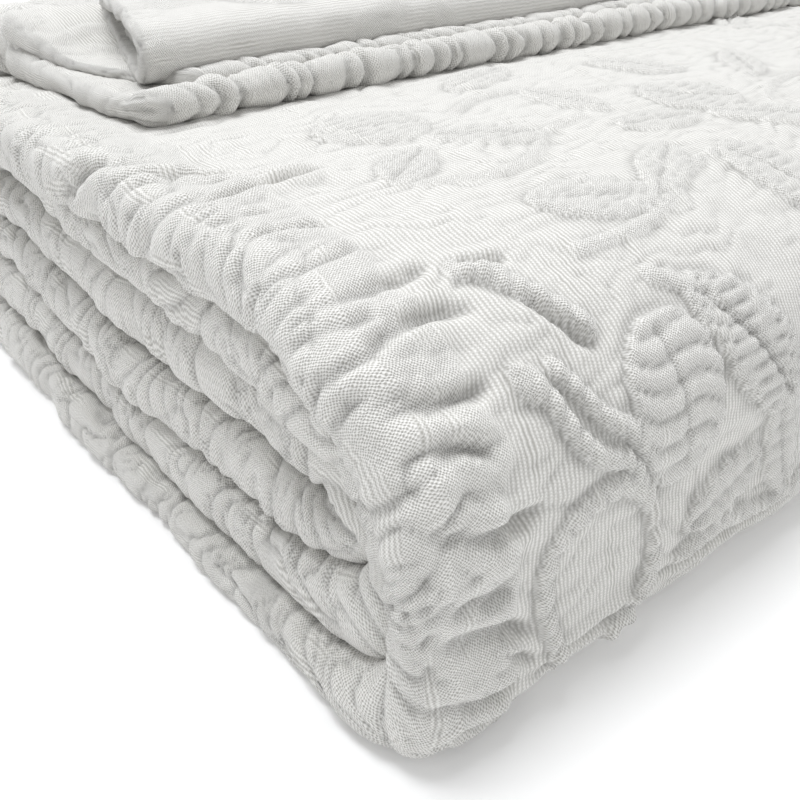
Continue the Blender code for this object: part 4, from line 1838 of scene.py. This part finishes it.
@dataclass(frozen=True)
class StudioSize:
    """The camera's place and lens, the floor and the lights."""

    eye: tuple[float, float, float] = (-0.4021, -0.3080, 0.2100)
    ahead: tuple[float, float] = (0.6350, 0.7724)
    pitch: float = 31.45
    lens: float = 42.3
    sensor: float = 36.0
    nearest: float = 0.01
    floor: float = 12.0
    floor_drop: float = 0.0006
    floor_colour: tuple[float, float, float] = (0.93, 0.93, 0.93)
    floor_roughness: float = 0.9
    floor_glow: float = 0.10
    sky: float = 0.52
    lamp_colour: tuple[float, float, float] = (0.970, 0.982, 1.0)
    lamps: tuple[Lamp, ...] = (
        Lamp("top lamp", (-0.20, 0.50, 2.20), (0.0, 0.0, 0.0), 1.4, 49.0),
        Lamp("side lamp", (-1.7, 0.9, 0.8), (-0.2, 0.0, 0.06), 0.9, 1.3),
        Lamp("front lamp", (0.9, -1.9, 0.9), (0.0, -0.1, 0.06), 1.2, 5.0),
    )


class Studio:
    """A plain pale floor, soft light from above and the camera."""

    def __init__(self, size: StudioSize) -> None:
        """Keeps the sizes.

        Args:
            size: The studio's sizes.
        """
        self.size = size

    def build(self) -> None:
        """Makes the floor, the lights, the sky and the camera."""
        self.make_floor()
        self.make_sky()
        for lamp in self.size.lamps:
            self.hang(lamp)
        self.make_camera()
        view = bpy.context.scene.view_settings
        view.view_transform = "Standard"
        LOG.info("studio ready")

    def make_floor(self) -> None:
        """A wide pale floor that glows a little, as a lit table does."""
        half = self.size.floor / 2
        data = bpy.data.meshes.new("floor")
        corners = [(-half, -half, 0), (half, -half, 0), (half, half, 0), (-half, half, 0)]
        data.from_pydata(corners, [], [(0, 1, 2, 3)])
        floor = bpy.data.objects.new("floor", data)
        bpy.context.scene.collection.objects.link(floor)
        floor.location.z = -self.size.floor_drop
        material = bpy.data.materials.new("pale floor")
        material.use_nodes = True
        shader = material.node_tree.nodes["Principled BSDF"]
        shader.inputs["Base Color"].default_value = (*self.size.floor_colour, 1.0)
        shader.inputs["Roughness"].default_value = self.size.floor_roughness
        shader.inputs["Emission Color"].default_value = (1, 1, 1, 1)
        shader.inputs["Emission Strength"].default_value = self.size.floor_glow
        data.materials.append(material)

    def make_sky(self) -> None:
        """Even light from all round."""
        world = bpy.data.worlds.new("studio")
        world.use_nodes = True
        sky = world.node_tree.nodes["Background"]
        sky.inputs["Color"].default_value = (1.0, 1.0, 1.0, 1.0)
        sky.inputs["Strength"].default_value = self.size.sky
        bpy.context.scene.world = world

    def hang(self, lamp: Lamp) -> None:
        """Hangs one lamp.

        Args:
            lamp: The lamp.
        """
        data = bpy.data.lights.new(lamp.name, "AREA")
        data.shape = "SQUARE"
        data.size = lamp.width
        data.energy = lamp.power
        data.color = self.size.lamp_colour
        hung = bpy.data.objects.new(lamp.name, data)
        hung.location = lamp.place
        hung.rotation_mode = "QUATERNION"
        hung.rotation_quaternion = (Vector(lamp.target) - Vector(lamp.place)).to_track_quat("-Z", "Y")
        bpy.context.scene.collection.objects.link(hung)

    def make_camera(self) -> None:
        """The camera at the photographed corner."""
        size = self.size
        data = bpy.data.cameras.new("camera")
        data.lens = size.lens
        data.sensor_width = size.sensor
        data.clip_start = size.nearest
        camera = bpy.data.objects.new("camera", data)
        pitch = math.radians(size.pitch)
        ahead = Vector((size.ahead[0] * math.cos(pitch), size.ahead[1] * math.cos(pitch), -math.sin(pitch)))
        camera.location = size.eye
        camera.rotation_mode = "QUATERNION"
        camera.rotation_quaternion = ahead.to_track_quat("-Z", "Y")
        bpy.context.scene.collection.objects.link(camera)
        bpy.context.scene.camera = camera


class Bedspread:
    """The whole cloth: its stretches along the wound band, and the end on top."""

    OUTER_LINES = 22
    OUTER_CROWDING = 2.4
    BACK_LINES = 84
    BACK_CROWDING = 1.5
    HIDDEN_LINES = 9
    FOLD_LINES = 28
    THIN_FOLD_LINES = 14
    HEM_SPACING = (0.0016, 0.0024)
    FLAP_SPACING = (0.0024, 0.0098)
    LINING_SPACING = (0.0050, 0.0098)
    TURN_STEP = 0.00125
    BACK_STEP = 0.00135
    SHOWN_STEP = 0.00140
    FLOOR_STEP = 0.00150
    TUCKED_STEP = 0.0030
    END_ROUND = 0.005
    LAP = 0.005
    SHOWN_FROM = 0.285
    SHOWN_UNDER = 0.030
    LOWER_ROLL = RollSize(0.1895, 0.0006, 0.0086, 0.0076, 0.0124, HEM_INSET)
    UPPER_ROLL = RollSize(
        0.1985, 0.0082, 0.0036, 0.0034, 0.0072, HEM_UPPER_INSET,
        corner=0.008, back_lift=0.0056, back_swell=2.7,
    )
    FLAP = FlapSize(0.2062, 0.1288, 0.1506, 0.2955, 0.0048, FLAP_INSET)
    FLAP_LINING = FlapSize(
        0.2120, 0.1346, 0.1452, 0.2900, 0.0036, LINING_INSET, 0.300, 0.1410, 0.2260
    )

    def __init__(self, size: BundleSize, ply: PlySize) -> None:
        """Lays the band out.

        Args:
            size: The bundle's sizes.
            ply: Where its plies lie.
        """
        self.size = size
        self.ply = ply
        self.band = WoundBand(size)
        self.weaver = Weaver(size, SlowField(size))
        self.start = self.band.marks["front 2"]

    def edge_shares(self, count: int) -> np.ndarray:
        """Shares across a fold, without its last."""
        return np.arange(count) / count

    def four_plies(self, first_lines: int, crowding: float) -> Columns:
        """Lines over all four plies, close together near the left folds.

        Args:
            first_lines: How many lines the outermost ply has.
            crowding: How much closer together they are near its fold (1 is even).

        Returns:
            The lines.
        """
        toward = 1 - (1 - np.linspace(0, 1, first_lines)) ** crowding
        away = np.linspace(0, 1, self.OUTER_LINES) ** self.OUTER_CROWDING
        columns = Columns(self.ply)
        columns.add(Part.OUTER_HEM, np.array([0.0, 0.4, 0.75, 0.83, 0.92]))
        columns.add(Part.FIRST, toward[:-1])
        columns.add(Part.OUTER_FOLD, self.edge_shares(self.FOLD_LINES))
        columns.add(Part.FOURTH, away[:-1])
        return self.add_inner_plies(columns)

    def add_inner_plies(self, columns: Columns) -> Columns:
        """Adds lines over the two plies inside the band and their folds.

        Args:
            columns: The lines that they follow on.

        Returns:
            All the lines.
        """
        columns.add(Part.RIGHT_FOLD, self.edge_shares(6))
        columns.add(Part.THIRD, np.linspace(0, 1, self.HIDDEN_LINES)[:-1])
        columns.add(Part.INNER_FOLD, self.edge_shares(5))
        columns.add(Part.SECOND, np.linspace(0, 1, self.HIDDEN_LINES)[:-1])
        return columns.add(Part.INNER_HEM, np.array([0.08, 0.17, 0.25, 0.6, 1.0]))

    def shown_columns(self) -> Columns:
        """Lines over the outermost ply of the top, the front and their folded edge."""
        total = FlatWidths().first
        far = np.linspace(0.0, 0.120, 30)[:-1]
        middle = graded(0.120, 0.400, 0.0024, 0.0014)[:-1]
        near = graded(0.400, total, 0.0014, 0.00105)[:-1]
        columns = Columns(self.ply)
        columns.add(Part.FIRST, np.concatenate([far, middle, near]) / total)
        columns.add(Part.OUTER_FOLD, self.edge_shares(30))
        columns.add(Part.FOURTH, np.linspace(0, 0.03, 8))
        return columns

    def tucked_columns(self) -> Columns:
        """Lines over the three plies under the shown one."""
        columns = Columns(self.ply)
        columns.add(Part.FOURTH, np.linspace(0.028, 1, self.HIDDEN_LINES)[:-1])
        return self.add_inner_plies(columns)

    def thin_columns(self, spacing: float, spacing_below: float) -> Columns:
        """Lines round one thin band: its top, its left edge and its underside.

        Args:
            spacing: The spacing over its top.
            spacing_below: The spacing over its underside.

        Returns:
            The lines.
        """
        columns = Columns(self.ply)
        shares = np.linspace(0, 1, round(FlatWidths().first / spacing))
        columns.add(Part.OUTER_HEM, np.array([0.75, 0.83, 0.92]))
        columns.add(Part.FIRST, shares[:-1])
        columns.add(Part.OUTER_FOLD, self.edge_shares(self.THIN_FOLD_LINES))
        columns.add(Part.FOURTH, np.linspace(0, 1, round(FlatWidths().fourth / spacing_below)))
        return columns

    def between(self, start: float, end: float, step: float) -> Rungs:
        """The band's rungs between two places along it.

        Args:
            start: The first place.
            end: The last place.
            step: The spacing.

        Returns:
            The rungs.
        """
        return self.band.rungs.at(np.linspace(start, end, round((end - start) / step) + 1))

    def shut(self, rungs: Rungs, first: bool) -> Rungs:
        """The rungs with one end of the band rounded shut.

        Args:
            rungs: The rungs.
            first: Whether it is their first end, and not their last.

        Returns:
            The rungs with a few more beyond that end.
        """
        last, before = (0, 1) if first else (-1, -2)
        centre = (rungs.inner + rungs.outer) / 2
        ahead = (centre[last] - centre[before]) / np.linalg.norm(centre[last] - centre[before])
        angle = np.linspace(0, math.pi / 2, 7)[1:]
        thin = np.maximum(np.cos(angle), 0.03)[:, None]
        half = thin * (rungs.outer[last] - rungs.inner[last]) / 2
        middle = centre[last] + self.END_ROUND * np.sin(angle)[:, None] * ahead
        behind = (1 - thin[:, 0]) * self.END_ROUND
        along = rungs.along[last] + self.END_ROUND * np.linspace(0.2, 1.2, len(angle)) * (-1 if first else 1)
        more = (middle - half, middle + half, rungs.left[last] + behind, rungs.right[last] + behind, along)
        now = (rungs.inner, rungs.outer, rungs.left, rungs.right, rungs.along)
        if first:
            return Rungs(*(np.concatenate([a[::-1], b]) for a, b in zip(more, now)))
        return Rungs(*(np.concatenate([b, a]) for a, b in zip(more, now)))

    def stretches(self) -> list[Stretch]:
        """All stretches of the cloth, from its inner end to its end on top."""
        marks, lap = self.band.marks, self.LAP
        first, second = marks["back 0"], marks["back 1"]
        shown = marks["F"] + self.size.back_turn - self.SHOWN_FROM
        under = marks["A"] + self.SHOWN_UNDER - self.size.front_turn
        end = float(self.band.rungs.along[-1])
        plies = self.four_plies(self.OUTER_LINES, self.OUTER_CROWDING)
        back_plies = self.four_plies(self.BACK_LINES, self.BACK_CROWDING)
        inner = self.shut(self.between(0.0, first, self.TURN_STEP), True)
        middle = self.between(first - lap, second, self.TURN_STEP)
        top_back = self.between(second - lap, shown + lap, self.BACK_STEP)
        top_front = self.between(shown, under, self.SHOWN_STEP)
        tucked = self.between(shown, under, self.TUCKED_STEP)
        floor_back = self.shut(self.between(under - lap, end, self.FLOOR_STEP), False)
        hem, flap = self.thin_columns(*self.HEM_SPACING), self.thin_columns(*self.FLAP_SPACING)
        lining = self.thin_columns(*self.LINING_SPACING)
        return [
            Stretch("cloth_inner_turns", inner, plies),
            Stretch("cloth_middle_turns", middle, plies).going_under(lap, 0.0),
            Stretch("cloth_top_back", top_back, back_plies).going_under(lap, lap),
            ShownStretch("cloth_top_front", top_front, self.shown_columns()),
            Stretch("cloth_tucked", tucked, self.tucked_columns()),
            Stretch("cloth_floor_back", floor_back, back_plies).going_under(lap, 0.0),
            HemStretch("cloth_lower_hem", self.LOWER_ROLL, self.band, hem, 106),
            HemStretch("cloth_upper_hem", self.UPPER_ROLL, self.band, hem, 107),
            FlapStretch("cloth_flap", self.FLAP, self.band, flap, 108),
            FlapStretch("cloth_flap_lining", self.FLAP_LINING, self.band, lining, 109),
        ]

    def build(self) -> None:
        """Makes all pieces, and hides the solid when the first is made."""
        finish = ClothFinish().build("white cotton")
        for number, stretch in enumerate(self.stretches()):
            piece = stretch.make(self.weaver, finish, self.start)
            if number == 0:
                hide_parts(NODE)


def main() -> None:
    """Builds the bedspread and the studio round it."""
    logging.basicConfig(level=logging.INFO, format="%(message)s")
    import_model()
    Bedspread(BundleSize(), PlySize()).build()
    Studio(StudioSize()).build()


if __name__ == "__main__":
    main()
